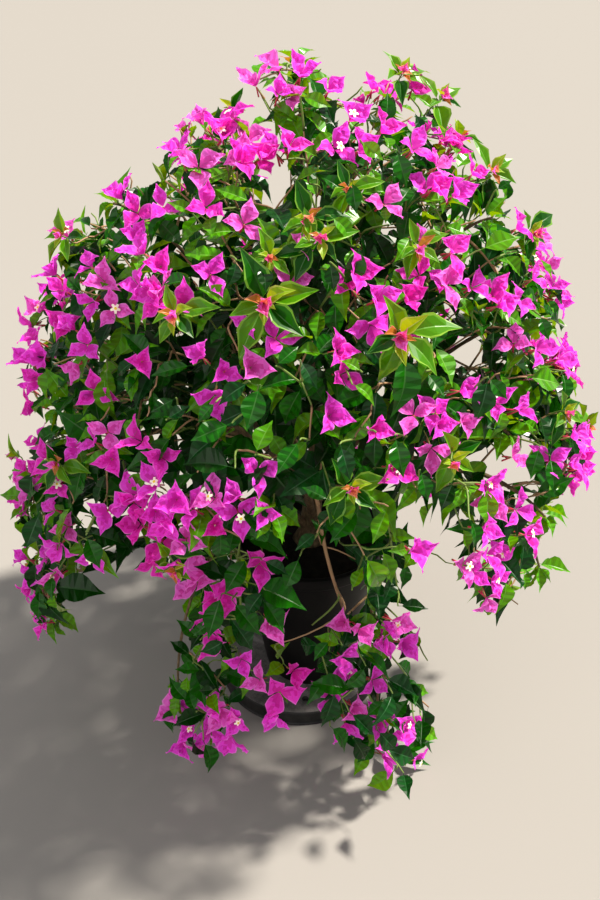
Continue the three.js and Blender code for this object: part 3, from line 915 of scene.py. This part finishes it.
# Blossom
blossom = {"bract": 22.4, "vary": (0.8, 1.16), "open": (38, 70), "reach": 348, "top": 814, "bottom": 3,
           "lowest": 10, "stalk": 14, "tube": 13, "star": 9.5, "starShare": 0.17, "sunk": 8, "spread": 8.5,
           "widest": 322, "lowWidest": 232, "lowScale": 1.24, "seenReach": 190}
bracts = Pile(makeBractForms(), ("bract", "fold", "edge"), False)
stars = Pile([makeStarForm()], ("white", "yellow"))
tubes = Pile([makeTubeForm()], ("tube", "olive"))
seenTones = {"b": ("bright", "bright", "pink", "pale"), "p": ("pink", "bright", "plum"),
             "d": ("plum", "pink", "plum"), "s": ("salmon", "pink", "pink")}

# Where the photograph shows blossom: pixel x and y, how many, and the tone: b bright, p pink, d deep or
# s salmon
seenBlossom = {
    "top": [(291, 68, 4, "b"), (267, 86, 3, "b"), (317, 84, 1, "b"), (278, 141, 3, "b"),
            (323, 142, 1, "b"), (210, 128, 3, "b"), (242, 124, 4, "b"), (254, 146, 2, "p"),
            (226, 154, 2, "b"), (186, 160, 3, "b"), (191, 201, 2, "p"), (230, 219, 2, "b")],
    "topRight": [(339, 114, 1, "b"), (372, 126, 2, "b"), (348, 144, 1, "p"), (374, 199, 1, "b"),
                 (289, 242, 2, "b"), (419, 71, 1, "s"), (405, 144, 1, "b"), (430, 162, 1, "b"),
                 (424, 186, 1, "b"), (448, 192, 3, "b"), (468, 170, 2, "b"), (515, 226, 1, "s"),
                 (538, 240, 2, "b"), (446, 250, 3, "b")],
    "left": [(57, 226, 2, "b"), (124, 206, 3, "b"), (148, 200, 2, "p"), (120, 230, 2, "b"),
             (148, 262, 4, "b"), (91, 276, 4, "b"), (50, 284, 3, "b"),
             (98, 304, 2, "b"), (31, 304, 5, "b"), (52, 320, 2, "d"), (74, 341, 4, "b"), (144, 298, 3, "p"),
             (170, 300, 3, "b"), (30, 352, 3, "p"), (25, 376, 3, "b"), (81, 388, 1, "s"),
             (126, 358, 2, "b"), (196, 270, 2, "p")],
    "leftLow": [(92, 430, 2, "b"), (98, 458, 3, "p"), (60, 444, 2, "p"), (38, 458, 3, "p"), (20, 484, 5, "b"),
                (44, 482, 2, "b"), (148, 457, 3, "p"), (164, 500, 4, "b"),
                (142, 512, 3, "b"), (118, 502, 2, "b"), (149, 543, 4, "p"), (174, 540, 4, "b"),
                (54, 526, 4, "b"), (92, 510, 2, "p"), (79, 556, 2, "b"), (22, 574, 4, "b"), (46, 574, 3, "b")],
    "centre": [(277, 278, 1, "b"), (343, 271, 1, "p"), (369, 298, 4, "b"), (395, 296, 2, "p"),
               (264, 336, 3, "b"), (212, 370, 4, "b"), (236, 366, 2, "b"), (325, 350, 2, "b"),
               (329, 374, 2, "b"), (396, 332, 2, "s"), (317, 416, 1, "p"), (360, 430, 1, "p"),
               (243, 472, 1, "b"), (382, 470, 1, "p"), (226, 514, 3, "b"), (251, 514, 3, "b"),
               (202, 526, 3, "p")],
    "right": [(440, 282, 3, "b"), (467, 286, 3, "b"), (516, 302, 3, "b"), (532, 278, 1, "p"),
              (492, 306, 1, "b"), (571, 288, 4, "b"), (536, 350, 3, "b"), (557, 362, 2, "b"),
              (453, 392, 1, "b"), (517, 412, 3, "b"), (432, 426, 4, "b"), (456, 424, 3, "b"),
              (572, 440, 2, "b"), (570, 468, 3, "b"), (522, 459, 1, "b"), (492, 489, 2, "b"),
              (514, 514, 3, "b"), (522, 540, 1, "p"), (475, 533, 2, "b"), (414, 556, 1, "p"),
              (457, 570, 1, "b"), (490, 584, 5, "b"), (482, 560, 1, "p")],
}
lowBlossom = {
    "cascades": [(204, 600, 4, "b"), (246, 566, 1, "p"), (255, 623, 2, "b"), (230, 662, 3, "b"),
                 (282, 675, 2, "p"), (270, 696, 4, "b"), (180, 728, 4, "b"), (200, 732, 4, "b"),
                 (226, 722, 4, "b"), (216, 590, 3, "b"), (206, 712, 2, "b"), (352, 634, 3, "b"),
                 (385, 626, 2, "b"), (376, 645, 2, "b"), (397, 648, 3, "p"), (332, 662, 1, "p"),
                 (366, 686, 3, "b"), (345, 711, 4, "b"), (399, 730, 3, "b"), (378, 744, 2, "b"),
                 (376, 761, 2, "b"), (410, 770, 1, "p")],
}


def inReach(spot):
    return math.hypot(spot[0], spot[1]) < blossom["reach"] and blossom["bottom"] < spot[2] < blossom["top"]


def addBlossom(tier, place, axis, tone, scale):
    wide = math.radians(dice.uniform(*blossom["open"]))
    roll = dice.uniform(0, 2 * math.pi)
    size = blossom["bract"] * dice.uniform(*blossom["vary"]) * scale
    for number in range(3):
        side = sideways(axis, roll + number * 2 * math.pi / 3 + dice.uniform(-0.2, 0.2))
        lean = wide * dice.uniform(0.85, 1.15)
        arm = unit(axis * math.cos(lean) + side * math.sin(lean))
        face = unit(axis * math.sin(lean) - side * math.cos(lean))
        if inReach(place + arm * size):
            bracts.add(tier, dice.randrange(len(bracts.forms)), place + arm, arm, face, size, tone,
                       dice.uniform(0.88, 1.12))
        lean = unit(axis + side * 0.25)
        top = lean * blossom["tube"] * dice.uniform(0.6, 1)
        tubes.add(tier, 0, place, sideways(lean, 0), -lean, np.linalg.norm(top), "tube")
        if number == 0 and dice.random() < blossom["starShare"]:
            stars.add(tier, 0, place + top * 1.02, sideways(lean, 1), -lean, blossom["star"], "star")


def addCluster(place, outward, count, tones, reach=150, scale=1.0):
    spread = blossom["spread"] * math.sqrt(count) * scale
    base = place - outward * (blossom["stalk"] + 0.5 * spread + blossom["sunk"])
    base[2] = max(base[2], blossom["lowest"])
    found = twigTo(base, outward, 1.0, 0.7, "green", reach, False)
    if not found:
        return False
    tier, curve = found
    for number in range(count):
        angle = number * goldenTurn
        radius = spread * math.sqrt((number + 0.3) / count)
        side = sideways(outward, angle)
        axis = unit(outward + side * 0.9 * radius / max(spread, 1))
        spot = base + axis * (blossom["stalk"] + 0.35 * spread) + side * radius * 0.6
        if not clearSpot(spot + axis * 8):
            spot = base + axis * 6
        middle = base + (spot - base) * 0.5 + outward * 3
        wood.add(tier, Curve(base, middle, middle, spot), 0.55, 0.5, "green", False)
        addBlossom(tier, spot, axis, dice.choice(tones), scale)
    dressTwig(tier, curve, outward, dice.choice(("mid", "fresh", "cool")), 46, 0.45, 16)
    return True


def shellHit(x, y, low):    # where the line of sight first meets the crown, or passes it closest
    ray = sightline(x, y)
    spots = eye + ray * np.arange(450, 1900, 4)[:, None]
    flat = np.hypot(spots[:, 0], spots[:, 1])
    if low:
        limit = np.full(len(spots), float(blossom["lowWidest"]))
    else:
        limit = np.minimum([crownRadius(height) * 0.985 for height in spots[:, 2]], blossom["widest"])
    beyond = flat - limit
    inside = np.nonzero((beyond < 0) & (spots[:, 2] < crown["top"] - 4))[0]
    if len(inside):
        return spots[inside[0]]
    return spots[int(np.argmin(beyond + np.maximum(0, spots[:, 2] - crown["top"] + 10)))]


placedBlossom = []


def addSeenBlossom():
    missed = []
    for areas, low, scale in ((seenBlossom, False, 1.0), (lowBlossom, True, blossom["lowScale"])):
        for x, y, seen, tone in [row for rows in areas.values() for row in rows]:
            spot = shellHit(x, y, low)
            outward = unit(outwardAt(spot) + 0.5 * unit(eye - spot))
            count = max(1, seen - 1)    # one fewer grows than is counted there
            if addCluster(spot, outward, count, seenTones[tone], blossom["seenReach"], scale):
                placedBlossom.append(spot)
            else:
                missed.append((x, y))
    print("blossom seen in the photograph", len(placedBlossom), "missed", missed)


# Leaves that stand out in the photograph, from root pixel to tip pixel, and their tone
seenLeaves = {
    "crown": [
        (260, 385, 247, 430, "mid"), (232, 423, 190, 440, "mid"), (255, 455, 271, 418, "fresh"),
        (235, 468, 180, 455, "deep"), (250, 382, 214, 402, "cool"), (404, 353, 411, 414, "mid"),
        (488, 377, 480, 423, "cool"), (488, 377, 509, 400, "mid"), (395, 435, 404, 478, "mid"),
        (540, 446, 530, 480, "mid"), (540, 315, 550, 340, "mid"), (40, 512, 25, 550, "cool"),
        (86, 535, 100, 569, "mid"), (86, 532, 128, 542, "deep"), (70, 548, 44, 561, "mid"),
        (48, 586, 104, 590, "deep"), (40, 588, 38, 622, "mid"), (236, 260, 233, 288, "cool"),
        (262, 262, 268, 292, "deep"), (330, 262, 334, 292, "deep"), (310, 192, 290, 178, "deep"),
        (330, 216, 360, 236, "fresh"), (360, 246, 352, 290, "mid"), (300, 96, 332, 104, "fresh"),
        (360, 140, 384, 160, "fresh"), (352, 180, 356, 214, "mid"), (396, 150, 408, 186, "mid"),
        (480, 250, 522, 232, "fresh"), (496, 190, 512, 180, "mid"), (300, 440, 276, 474, "mid"),
        (340, 444, 352, 482, "cool"), (376, 432, 372, 470, "deep"), (216, 402, 196, 422, "mid"),
        (176, 398, 150, 412, "deep"), (166, 420, 190, 404, "cool"), (330, 500, 302, 486, "mid"),
        (420, 470, 430, 502, "mid"), (454, 480, 440, 512, "deep"), (470, 520, 486, 548, "mid"),
        (276, 366, 300, 344, "mid"), (300, 360, 318, 388, "cool"), (352, 384, 380, 396, "fresh"),
        (362, 372, 342, 356, "fresh"), (426, 372, 446, 396, "mid"),
    ],
    "low": [
        (247, 583, 312, 605, "mid"), (261, 598, 288, 633, "mid"), (265, 590, 241, 617, "cool"),
        (230, 580, 196, 560, "deep"), (200, 640, 178, 618, "mid"), (203, 670, 175, 668, "mid"),
        (203, 740, 221, 776, "mid"), (397, 768, 366, 796, "fresh"), (403, 755, 427, 733, "mid"),
        (394, 720, 407, 698, "mid"), (354, 690, 312, 680, "mid"), (342, 645, 315, 635, "fresh"),
        (240, 534, 290, 540, "mid"), (262, 560, 290, 574, "cool"), (366, 560, 380, 596, "mid"),
        (352, 590, 362, 566, "fresh"), (398, 606, 430, 606, "deep"), (236, 522, 228, 556, "mid"),
        (196, 712, 186, 690, "mid"), (216, 690, 196, 690, "deep"), (214, 620, 192, 636, "mid"),
        (226, 640, 200, 656, "cool"), (330, 726, 356, 748, "mid"), (188, 702, 168, 680, "mid"),
        (192, 656, 170, 640, "deep"), (386, 700, 366, 716, "mid"), (232, 600, 262, 638, "mid"),
        (222, 594, 206, 640, "mid"), (248, 556, 224, 594, "mid"), (212, 560, 244, 578, "deep"),
        (300, 556, 284, 592, "mid"), (228, 616, 258, 652, "cool"), (330, 640, 312, 660, "mid"),
    ],
}
# Young shoots: small yellow-green leaves and orange or salmon bracts round a tip: pixel x and y, and scale
seenShoots = [(264, 304, 1.35), (398, 336, 1.4), (402, 74, 1.1), (442, 98, 1), (533, 234, 1), (492, 172, 1),
              (566, 412, 0.9), (306, 222, 1), (174, 316, 1), (62, 236, 0.9), (322, 238, 1), (56, 462, 0.9),
              (452, 462, 0.9), (352, 488, 1), (176, 572, 0.9), (270, 258, 0.8), (418, 250, 0.8),
              (348, 190, 0.8)]
# Bare stems in front of the pot and beside the crown: pixels from the upper end to the lower one, the radius
# at each end, the tone, and how far out they hang
seenStems = [(((318, 505), (322, 545), (332, 580), (344, 610)), 2.3, 1.7, "tan", 170),
             (((338, 600), (330, 612), (322, 616), (312, 625)), 1.4, 1.0, "green", 172),
             (((325, 547), (336, 548), (346, 554), (357, 560)), 1.0, 0.7, "tan", 168),
             (((238, 560), (238, 578), (240, 596), (241, 616)), 1.5, 1.1, "green", 222),
             (((388, 520), (392, 545), (394, 575), (400, 602)), 1.3, 0.9, "green", 215),
             (((344, 612), (330, 624), (304, 638), (276, 644)), 1.1, 0.8, "tan", 205),
             (((366, 690), (384, 720), (392, 742), (404, 764)), 1.2, 0.8, "green", 228)]


def frontHit(x, y, radius):
    ray = sightline(x, y)
    spots = eye + ray * np.arange(450, 1500, 3)[:, None]
    inside = np.nonzero(np.hypot(spots[:, 0], spots[:, 1]) < radius)[0]
    return spots[inside[0]]


def addSeenStems():
    for pixels, root, tip, tone, radius in seenStems:
        corners = [frontHit(x, y, radius) for x, y in pixels]
        curve = Curve(*corners)
        top = corners[0]
        start, arm, tier, away = wood.nearest(top + np.array([0, 12, 0]), unit([0, -1, -0.4]))
        link = Curve(start, start + arm * away * 0.3, top - curve.tangent(0) * away * 0.3, top)
        wood.add(tier, link, root * 1.1, root, tone)
        wood.add(tier, curve, root, tip, tone)


def addSeenLeaves():
    for area, rows in seenLeaves.items():
        for x, y, tipX, tipY, tone in rows:
            root = shellHit(x, y, area == "low")
            back = unit(eye - root)
            root = root + back * dice.uniform(8, 20)
            root[2] = max(root[2], blossom["lowest"])
            depth = (root - eye) @ forward
            ray = sightline(tipX, tipY)
            arm = eye + ray * (depth / (ray @ forward)) - root
            size = np.linalg.norm(arm)
            arm = arm + back * size * dice.uniform(0, 0.3)
            outward = unit(outwardAt(root) + back)
            found = twigTo(root, outward, 1.1, 0.8, "green", 190, False)
            if found and inReach(root + arm):
                face = unit(back + (0, 0, 0.7) + sideways(unit(arm), 0) * dice.uniform(-0.3, 0.3))
                form = dice.choice((0, 1, 4, 5))
                width = dice.uniform(1, 1.15)
                foliage.add(found[0], form, root, unit(arm), face, np.linalg.norm(arm), tone, width)


def addShoot(place, outward, reach=150, scale=1.0):
    found = twigTo(place, outward, 1.0, 0.7, "green", reach, False)
    if not found:
        return
    tier, curve = found
    along = curve.tangent(1)
    for number in range(9):
        share = 1 - 0.05 * number
        side = sideways(along, number * goldenTurn)
        arm = unit(along * mix(1.0, 0.2, number / 8) + side * 0.8)
        size = mix(11, 40, number / 8) * dice.uniform(0.8, 1.2) * scale
        if not inReach(curve.point(share) + arm * size):
            continue
        face = unit(outward + (0, 0, 0.4) - arm * 0.3)
        tone = dice.choice(("young", "bronze", "young") if number < 4 else ("fresh", "mid", "fresh"))
        litRimmed.add(tier, dice.randrange(len(litRimmed.forms)), curve.point(share), arm, face, size, tone, 0.95)
    for number in range(dice.choice((2, 3, 4))):
        side = sideways(along, number * 2.1 + 1)
        arm = unit(along + side * 0.6)
        if inReach(curve.point(1) + arm * 16):
            bracts.add(tier, dice.randrange(len(bracts.forms)), curve.point(1), arm, unit(along - side),
                       dice.uniform(9, 14) * scale, dice.choice(("amber", "salmon", "pale")))


def addShoots():
    for x, y, scale in seenShoots:
        spot = shellHit(x, y, False)
        back = unit(eye - spot)
        addShoot(spot + back * 6, unit(outwardAt(spot) + 0.6 * back), 190, scale)
    for spot in shellTargets(1.0, 120):
        if outwardAt(spot) @ unit(eye - spot) < -0.05 and clearSpot(spot, -6):
            addShoot(spot, outwardAt(spot))


otherBlossom = {"pitch": 50, "turned": 0.04, "patches": 0.014, "bare": 0.0, "apart": 45}


def addOtherBlossom():    # the sides and back, as full as the front, in patches
    grown = 0
    for spot in shellTargets(1.0, otherBlossom["pitch"]):
        outward = outwardAt(spot)
        hidden = outward @ unit(eye - spot) < otherBlossom["turned"]
        bare = noise.noise(Vector(spot) * otherBlossom["patches"]) < otherBlossom["bare"]
        if not hidden or bare or not clearSpot(spot, -6):
            continue
        if np.linalg.norm(np.array(placedBlossom) - spot, axis=1).min() < otherBlossom["apart"]:
            continue
        if addCluster(spot, outward, dice.choice((2, 3, 4, 5)), seenTones[dice.choice("bbpd")]):
            grown += 1
    print("blossom on the far side", grown)


# Bark: the trunk and boughs, with relief
barkRelief = {"ridge": 0.07, "ridgesRound": 2.4, "ridgesAlong": 0.012, "lump": 0.1, "lumpScale": 0.09,
              "node": 0.14, "nodeLength": 3.2, "pitch": 46, "tipRadius": 1.2}


def limbMesh(name, curve, radiusAt, rings, sides):
    bar = barForm(sides, rings)
    shares = np.linspace(0, 1, rings)
    spots = carried(bar, curve, radiusAt(shares))
    ringOf = np.rint(bar["spots"][:, 2] * (rings - 1)).astype(int)
    middle = curve.point(shares)[ringOf]
    run = curve.length()
    for i, spot in enumerate(spots):
        arm = spot - middle[i]
        girth = np.linalg.norm(arm)
        around = math.atan2(bar["spots"][i, 1], bar["spots"][i, 0])
        distance = bar["spots"][i, 2] * run
        ridges = barkRelief["ridgesRound"]
        ridge = noise.noise(Vector((math.cos(around) * ridges, math.sin(around) * ridges,
                                    distance * barkRelief["ridgesAlong"])))
        lump = noise.noise(Vector(spot * barkRelief["lumpScale"]))
        fromJoint = distance % barkRelief["pitch"] - barkRelief["pitch"] / 2
        joint = math.exp(-(fromJoint / barkRelief["nodeLength"]) ** 2)
        swell = barkRelief["ridge"] * ridge + barkRelief["lump"] * lump + barkRelief["node"] * joint
        spots[i] = middle[i] + arm * (1 + swell * min(1, 4 / girth + 0.5))
    return meshOf(name, spots, bar["faces"])


def barkFinish():
    made = Finish("bark", (138, 112, 82), 0.82, 0.3)
    coarse = made.grain(260, 6, 0.6, (1, 1, 0.35))
    patches = made.grain(38, 3)
    colour = made.ramp(coarse, (0.32, (52, 38, 26)), (0.5, (92, 72, 50)), (0.7, (134, 110, 80)))
    made.give("Base Color", made.blend(patches * 0.5, colour, (74, 78, 54)))
    made.give("Roughness", 0.7 + coarse * 0.25)
    made.relief(coarse, 0.6, 0.0012)
    return made


def joinPieces(name, meshes, finish):
    bm = bmesh.new()
    for mesh in meshes:
        bm.from_mesh(mesh)
    joined = bpy.data.meshes.new(name)
    bm.to_mesh(joined)
    bm.free()
    joined.materials.append(finish.material)
    return addPiece(name, joined)


def makeBark():
    finish = barkFinish()
    stem = joinPieces("trunk_bark", [limbMesh("trunk", trunkCurve, trunkRadius, 40, 18)], finish)
    stand(stem, "bark", "trunk")
    meshes = []
    for arch in arches:
        girth = tiers[arch["tier"]]["girth"]
        entry, end = arch["entry"], arch["end"]

        def radiusAt(share):
            bough = mix(girth[0], girth[1], np.minimum(share / entry, 1))
            beyond = np.clip((share - entry) / max(end - entry, 0.01), 0, 1)
            leader = mix(girth[1], barkRelief["tipRadius"], beyond)
            return np.where(share < entry, bough, leader)

        path = arch["curve"].part(0, end)
        meshes.append(limbMesh(arch["name"], path, lambda share: radiusAt(share * end), 64, 8))
    boughs = joinPieces("boughs_bark", meshes, finish)
    stand(boughs, "bark", *[f"bough_{arch['name']}" for arch in arches])


def stand(piece, slot, *nodes):    # each piece of the plant hangs from the root body, and the part's nodes that it replaces are hidden
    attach(piece, "root")
    if nodes:
        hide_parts(*nodes)


# The pot, its base and the soil
def spun(profile, steps, shift=0):    # a closed profile of radius and height, turned once round
    bm = bmesh.new()
    verts = [bm.verts.new((radius * mm, 0, height * mm)) for radius, height in profile]
    edges = [bm.edges.new(pair) for pair in zip(verts, verts[1:])]
    bmesh.ops.spin(bm, geom=verts + edges, cent=(0, 0, 0), axis=(0, 0, 1), angle=2 * math.pi, steps=steps,
                   use_merge=True, use_duplicate=False)
    bmesh.ops.remove_doubles(bm, verts=bm.verts, dist=1e-6)
    bmesh.ops.recalc_face_normals(bm, faces=bm.faces)
    bmesh.ops.translate(bm, verts=bm.verts, vec=(shift * mm, 0, 0))
    return bm


def pieceFrom(bm, name, finish, smoothFaces=True):
    mesh = bpy.data.meshes.new(name)
    bm.to_mesh(mesh)
    bm.free()
    mesh.polygons.foreach_set("use_smooth", np.full(len(mesh.polygons), smoothFaces))
    mesh.materials.append(finish.material)
    return addPiece(name, mesh)


def potFinish():
    made = Finish("pot_black", (12, 12, 13), 0.55, 0.14)
    dust = made.grain(18, 5, 0.65)
    fine = made.grain(420, 3, 0.5)
    mask = made.ramp(dust + fine * 0.25, (0.56, (0, 0, 0)), (0.86, (255, 255, 255)))
    made.give("Base Color", made.blend(mask, (5, 5, 6), (22, 21, 20)))
    made.give("Roughness", 0.42 + dust * 0.25)
    made.relief(fine, 0.18, 0.0004)
    return made


def baseFinish():
    made = Finish("base_dusty", (60, 60, 62), 0.8, 0.35)
    dust = made.grain(26, 6, 0.6)
    fine = made.grain(520, 3, 0.6)
    mask = made.ramp(dust * 0.8 + fine * 0.3, (0.38, (0, 0, 0)), (0.68, (255, 255, 255)))
    made.give("Base Color", made.blend(mask, (40, 41, 44), (112, 108, 106)))
    made.give("Roughness", 0.72 + dust * 0.2)
    made.relief(fine, 0.3, 0.0006)
    return made


def baseSideFinish():
    made = Finish("base_black", (14, 14, 15), 0.5, 0.35)
    fine = made.grain(60, 5, 0.6)
    made.give("Base Color", made.ramp(fine, (0.4, (8, 8, 9)), (0.75, (44, 42, 40))))
    made.give("Roughness", 0.4 + fine * 0.25)
    return made


def soilAndShadeFinish():
    made = Finish("soil", (46, 34, 26), 0.95, 0.2)
    coarse = made.grain(120, 8, 0.7)
    # The soil's tones are darker than potting soil's own: painted shade under the crown
    made.give("Base Color", made.ramp(coarse, (0.35, (6, 5, 4)), (0.52, (18, 13, 10)), (0.7, (38, 30, 23))))
    made.relief(coarse, 0.9, 0.003)
    return made


def potWall(height):
    share = (height - pot["foot"]) / (pot["top"] - pot["foot"])
    return mix(pot["footRadius"], pot["topRadius"], share)


def makePot():
    band = pot["top"] - pot["rimBand"]
    top = pot["top"]
    rim = pot["rimRadius"]
    inner = pot["topRadius"] - pot["wall"]
    foot = pot["foot"]
    footRadius = pot["footRadius"]
    floor = foot + pot["floor"]
    outside = [(0, foot), (footRadius - 3, foot), (footRadius - 0.8, foot + 0.8), (footRadius + 0.2, foot + 3)]
    for height in np.linspace(foot + 14, band - 3, 9):
        outside.append((potWall(height), height))
    outside += [(potWall(band - 0.6), band - 0.6), (rim - 2.2, band), (rim - 0.7, band + 0.8),
                (rim - 0.2, band + 2.4), (rim, top - 4), (rim - 0.1, top - 1.6), (rim - 0.7, top - 0.4),
                (rim - 1.8, top), (inner + 1.4, top), (inner + 0.3, top - 0.6), (inner, top - 2)]
    inside = [(potWall(height) - pot["wall"], height) for height in np.linspace(band, floor, 7)]
    bm = spun(outside + inside + [(0, floor)], 96, pot["shift"])
    stand(pieceFrom(bm, "pot_shell", potFinish()), "pot_plastic", "pot")


base = {"radius": 104, "height": 22, "lipRadius": 105.5, "holes": 6, "firstHole": -85, "holeCircle": 80,
        "holeRadius": 4.5, "holeDepth": 8}


def makeBase():
    r, h = base["radius"], base["height"]
    profile = [(0, 0), (base["lipRadius"] - 1, 0), (base["lipRadius"], 0.8), (base["lipRadius"], 2.2),
               (r + 0.4, 3), (r, 4), (r, h - 5.4), (r - 0.5, h - 3.2), (r - 1.8, h - 1.3), (r - 4, h - 0.3),
               (r - 6, h), (0, h)]
    piece = pieceFrom(spun(profile, 128), "base_plate", baseFinish())
    bm = bmesh.new()
    for number in range(base["holes"]):
        place = compass(base["firstHole"] + 360 / base["holes"] * number, base["holeCircle"], h) * mm
        made = bmesh.ops.create_cone(bm, cap_ends=True, segments=32, radius1=base["holeRadius"] * mm,
                                     radius2=base["holeRadius"] * mm, depth=2 * base["holeDepth"] * mm)
        bmesh.ops.translate(bm, verts=made["verts"], vec=Vector(place))
    cutter = pieceFrom(bm, "cutter", baseFinish())
    cut = piece.modifiers.new("holes", "BOOLEAN")
    cut.object = cutter
    cut.solver = "EXACT"
    applyModifiers(piece)
    bpy.data.objects.remove(cutter)
    piece.data.materials.clear()
    for finish in (baseFinish(), baseSideFinish()):
        piece.data.materials.append(finish.material)
    for face in piece.data.polygons:
        face.material_index = 0 if face.normal.z > 0.6 and face.center.z > 0.5 * base["height"] * mm else 1
    stand(piece, "base_plastic", "base")


def applyModifiers(piece):
    graph = bpy.context.evaluated_depsgraph_get()
    mesh = bpy.data.meshes.new_from_object(piece.evaluated_get(graph))
    piece.modifiers.clear()
    piece.data = mesh


soilGrain = ((0.0016, 90), (0.0008, 300))    # height in metres, and scale


def makeSoil():
    foot = pot["foot"] + pot["floor"] + clearance
    wall = pot["wall"] + clearance
    top = pot["soilTop"]
    profile = [(0, foot), (potWall(foot) - wall, foot), (potWall(top) - wall, top)]
    crownTop = top + pot["soilCrown"]
    for share in np.linspace(0.95, 0, 16):
        radius = (potWall(top) - wall) * share
        profile.append((radius, mix(crownTop, top, smooth(0.2, 1, share))))
    bm = spun(profile, 64, pot["shift"])
    for vert in bm.verts:
        if vert.co.z > top * mm - 1e-4:
            vert.co.z += sum(height * noise.noise(vert.co * scale) for height, scale in soilGrain)
    stand(pieceFrom(bm, "soil_top", soilAndShadeFinish()), "soil", "soil")


# Floor, light and world
light = {"sunFrom": (1.0, 0.3, 1.75), "sunAngle": 5, "sunPower": 9.7, "fillPlace": (-1.3, -2.4, 1.9),
         "fillSize": 2.6, "fillPower": 36, "aimHeight": 0.35, "sky": (250, 249, 248), "skyPower": 0.64,
         "floor": (136, 133, 130)}


def addLamp(name, kind, place, power, colour, **sizes):
    data = bpy.data.lights.new(name, kind)
    data.energy = power
    data.color = asColour(colour)[:3]
    for setting, value in sizes.items():
        setattr(data, setting, value)
    lamp = bpy.data.objects.new(name, data)
    lamp.location = place
    aim = Vector((0, 0, light["aimHeight"])) - Vector(place)
    lamp.rotation_euler = aim.to_track_quat("-Z", "Y").to_euler()
    bpy.context.scene.collection.objects.link(lamp)


def makeStudio():
    finish = Finish("studio_floor", light["floor"], 0.9, 0.2)
    bm = bmesh.new()
    bmesh.ops.create_grid(bm, x_segments=2, y_segments=2, size=30)
    bmesh.ops.translate(bm, verts=bm.verts, vec=(0, 10, 0))
    floor = pieceFrom(bm, "studio_floor", finish, False)
    sunAngle = math.radians(light["sunAngle"])
    addLamp("sun", "SUN", light["sunFrom"], light["sunPower"], (255, 247, 232), angle=sunAngle)
    addLamp("fill", "AREA", light["fillPlace"], light["fillPower"], (255, 250, 242), size=light["fillSize"])
    world = bpy.data.worlds.new("studio")
    world.use_nodes = True
    sky = world.node_tree.nodes["Background"]
    sky.inputs["Color"].default_value = asColour(light["sky"])
    sky.inputs["Strength"].default_value = light["skyPower"]
    bpy.context.scene.world = world
    bpy.context.scene.view_settings.view_transform = "Standard"


# The whole scene
makeCamera()
finishes = makeFinishes()
trimLimbs()
growMasses()
fillCascades()
fillCrown()
addSeenStems()
addSeenLeaves()
addSeenBlossom()
addOtherBlossom()
addShoots()
print("leaves", foliage.count(), "young leaves", litRimmed.count())
print("bracts", bracts.count(), "stars", stars.count())

twigBar = barForm(5, 6)
for tierName in tierNames:
    nodes = [f"foliage_{arch['name']}" for arch in arches if arch["tier"] == tierName]
    stand(foliage.write(f"leaves_{tierName}", tierName, finishes), "foliage", *nodes)
    stand(wood.write(f"twigs_{tierName}", tierName, twigBar, finishes), "bark", *nodes)
    if tierName in bracts.copies:
        stand(bracts.write(f"bracts_{tierName}", tierName, finishes), "blossom", *nodes)
        stand(tubes.write(f"flower_tubes_{tierName}", tierName, finishes), "star_flower", *nodes)
    if tierName in litRimmed.copies:
        stand(litRimmed.write(f"young_leaves_{tierName}", tierName, finishes), "foliage", *nodes)
    if tierName in stars.copies:
        stand(stars.write(f"star_flowers_{tierName}", tierName, finishes), "star_flower", *nodes)
print("foliage joined")
makeBark()
makePot()
makeBase()
makeSoil()
print("pot and bark made")
makeStudio()
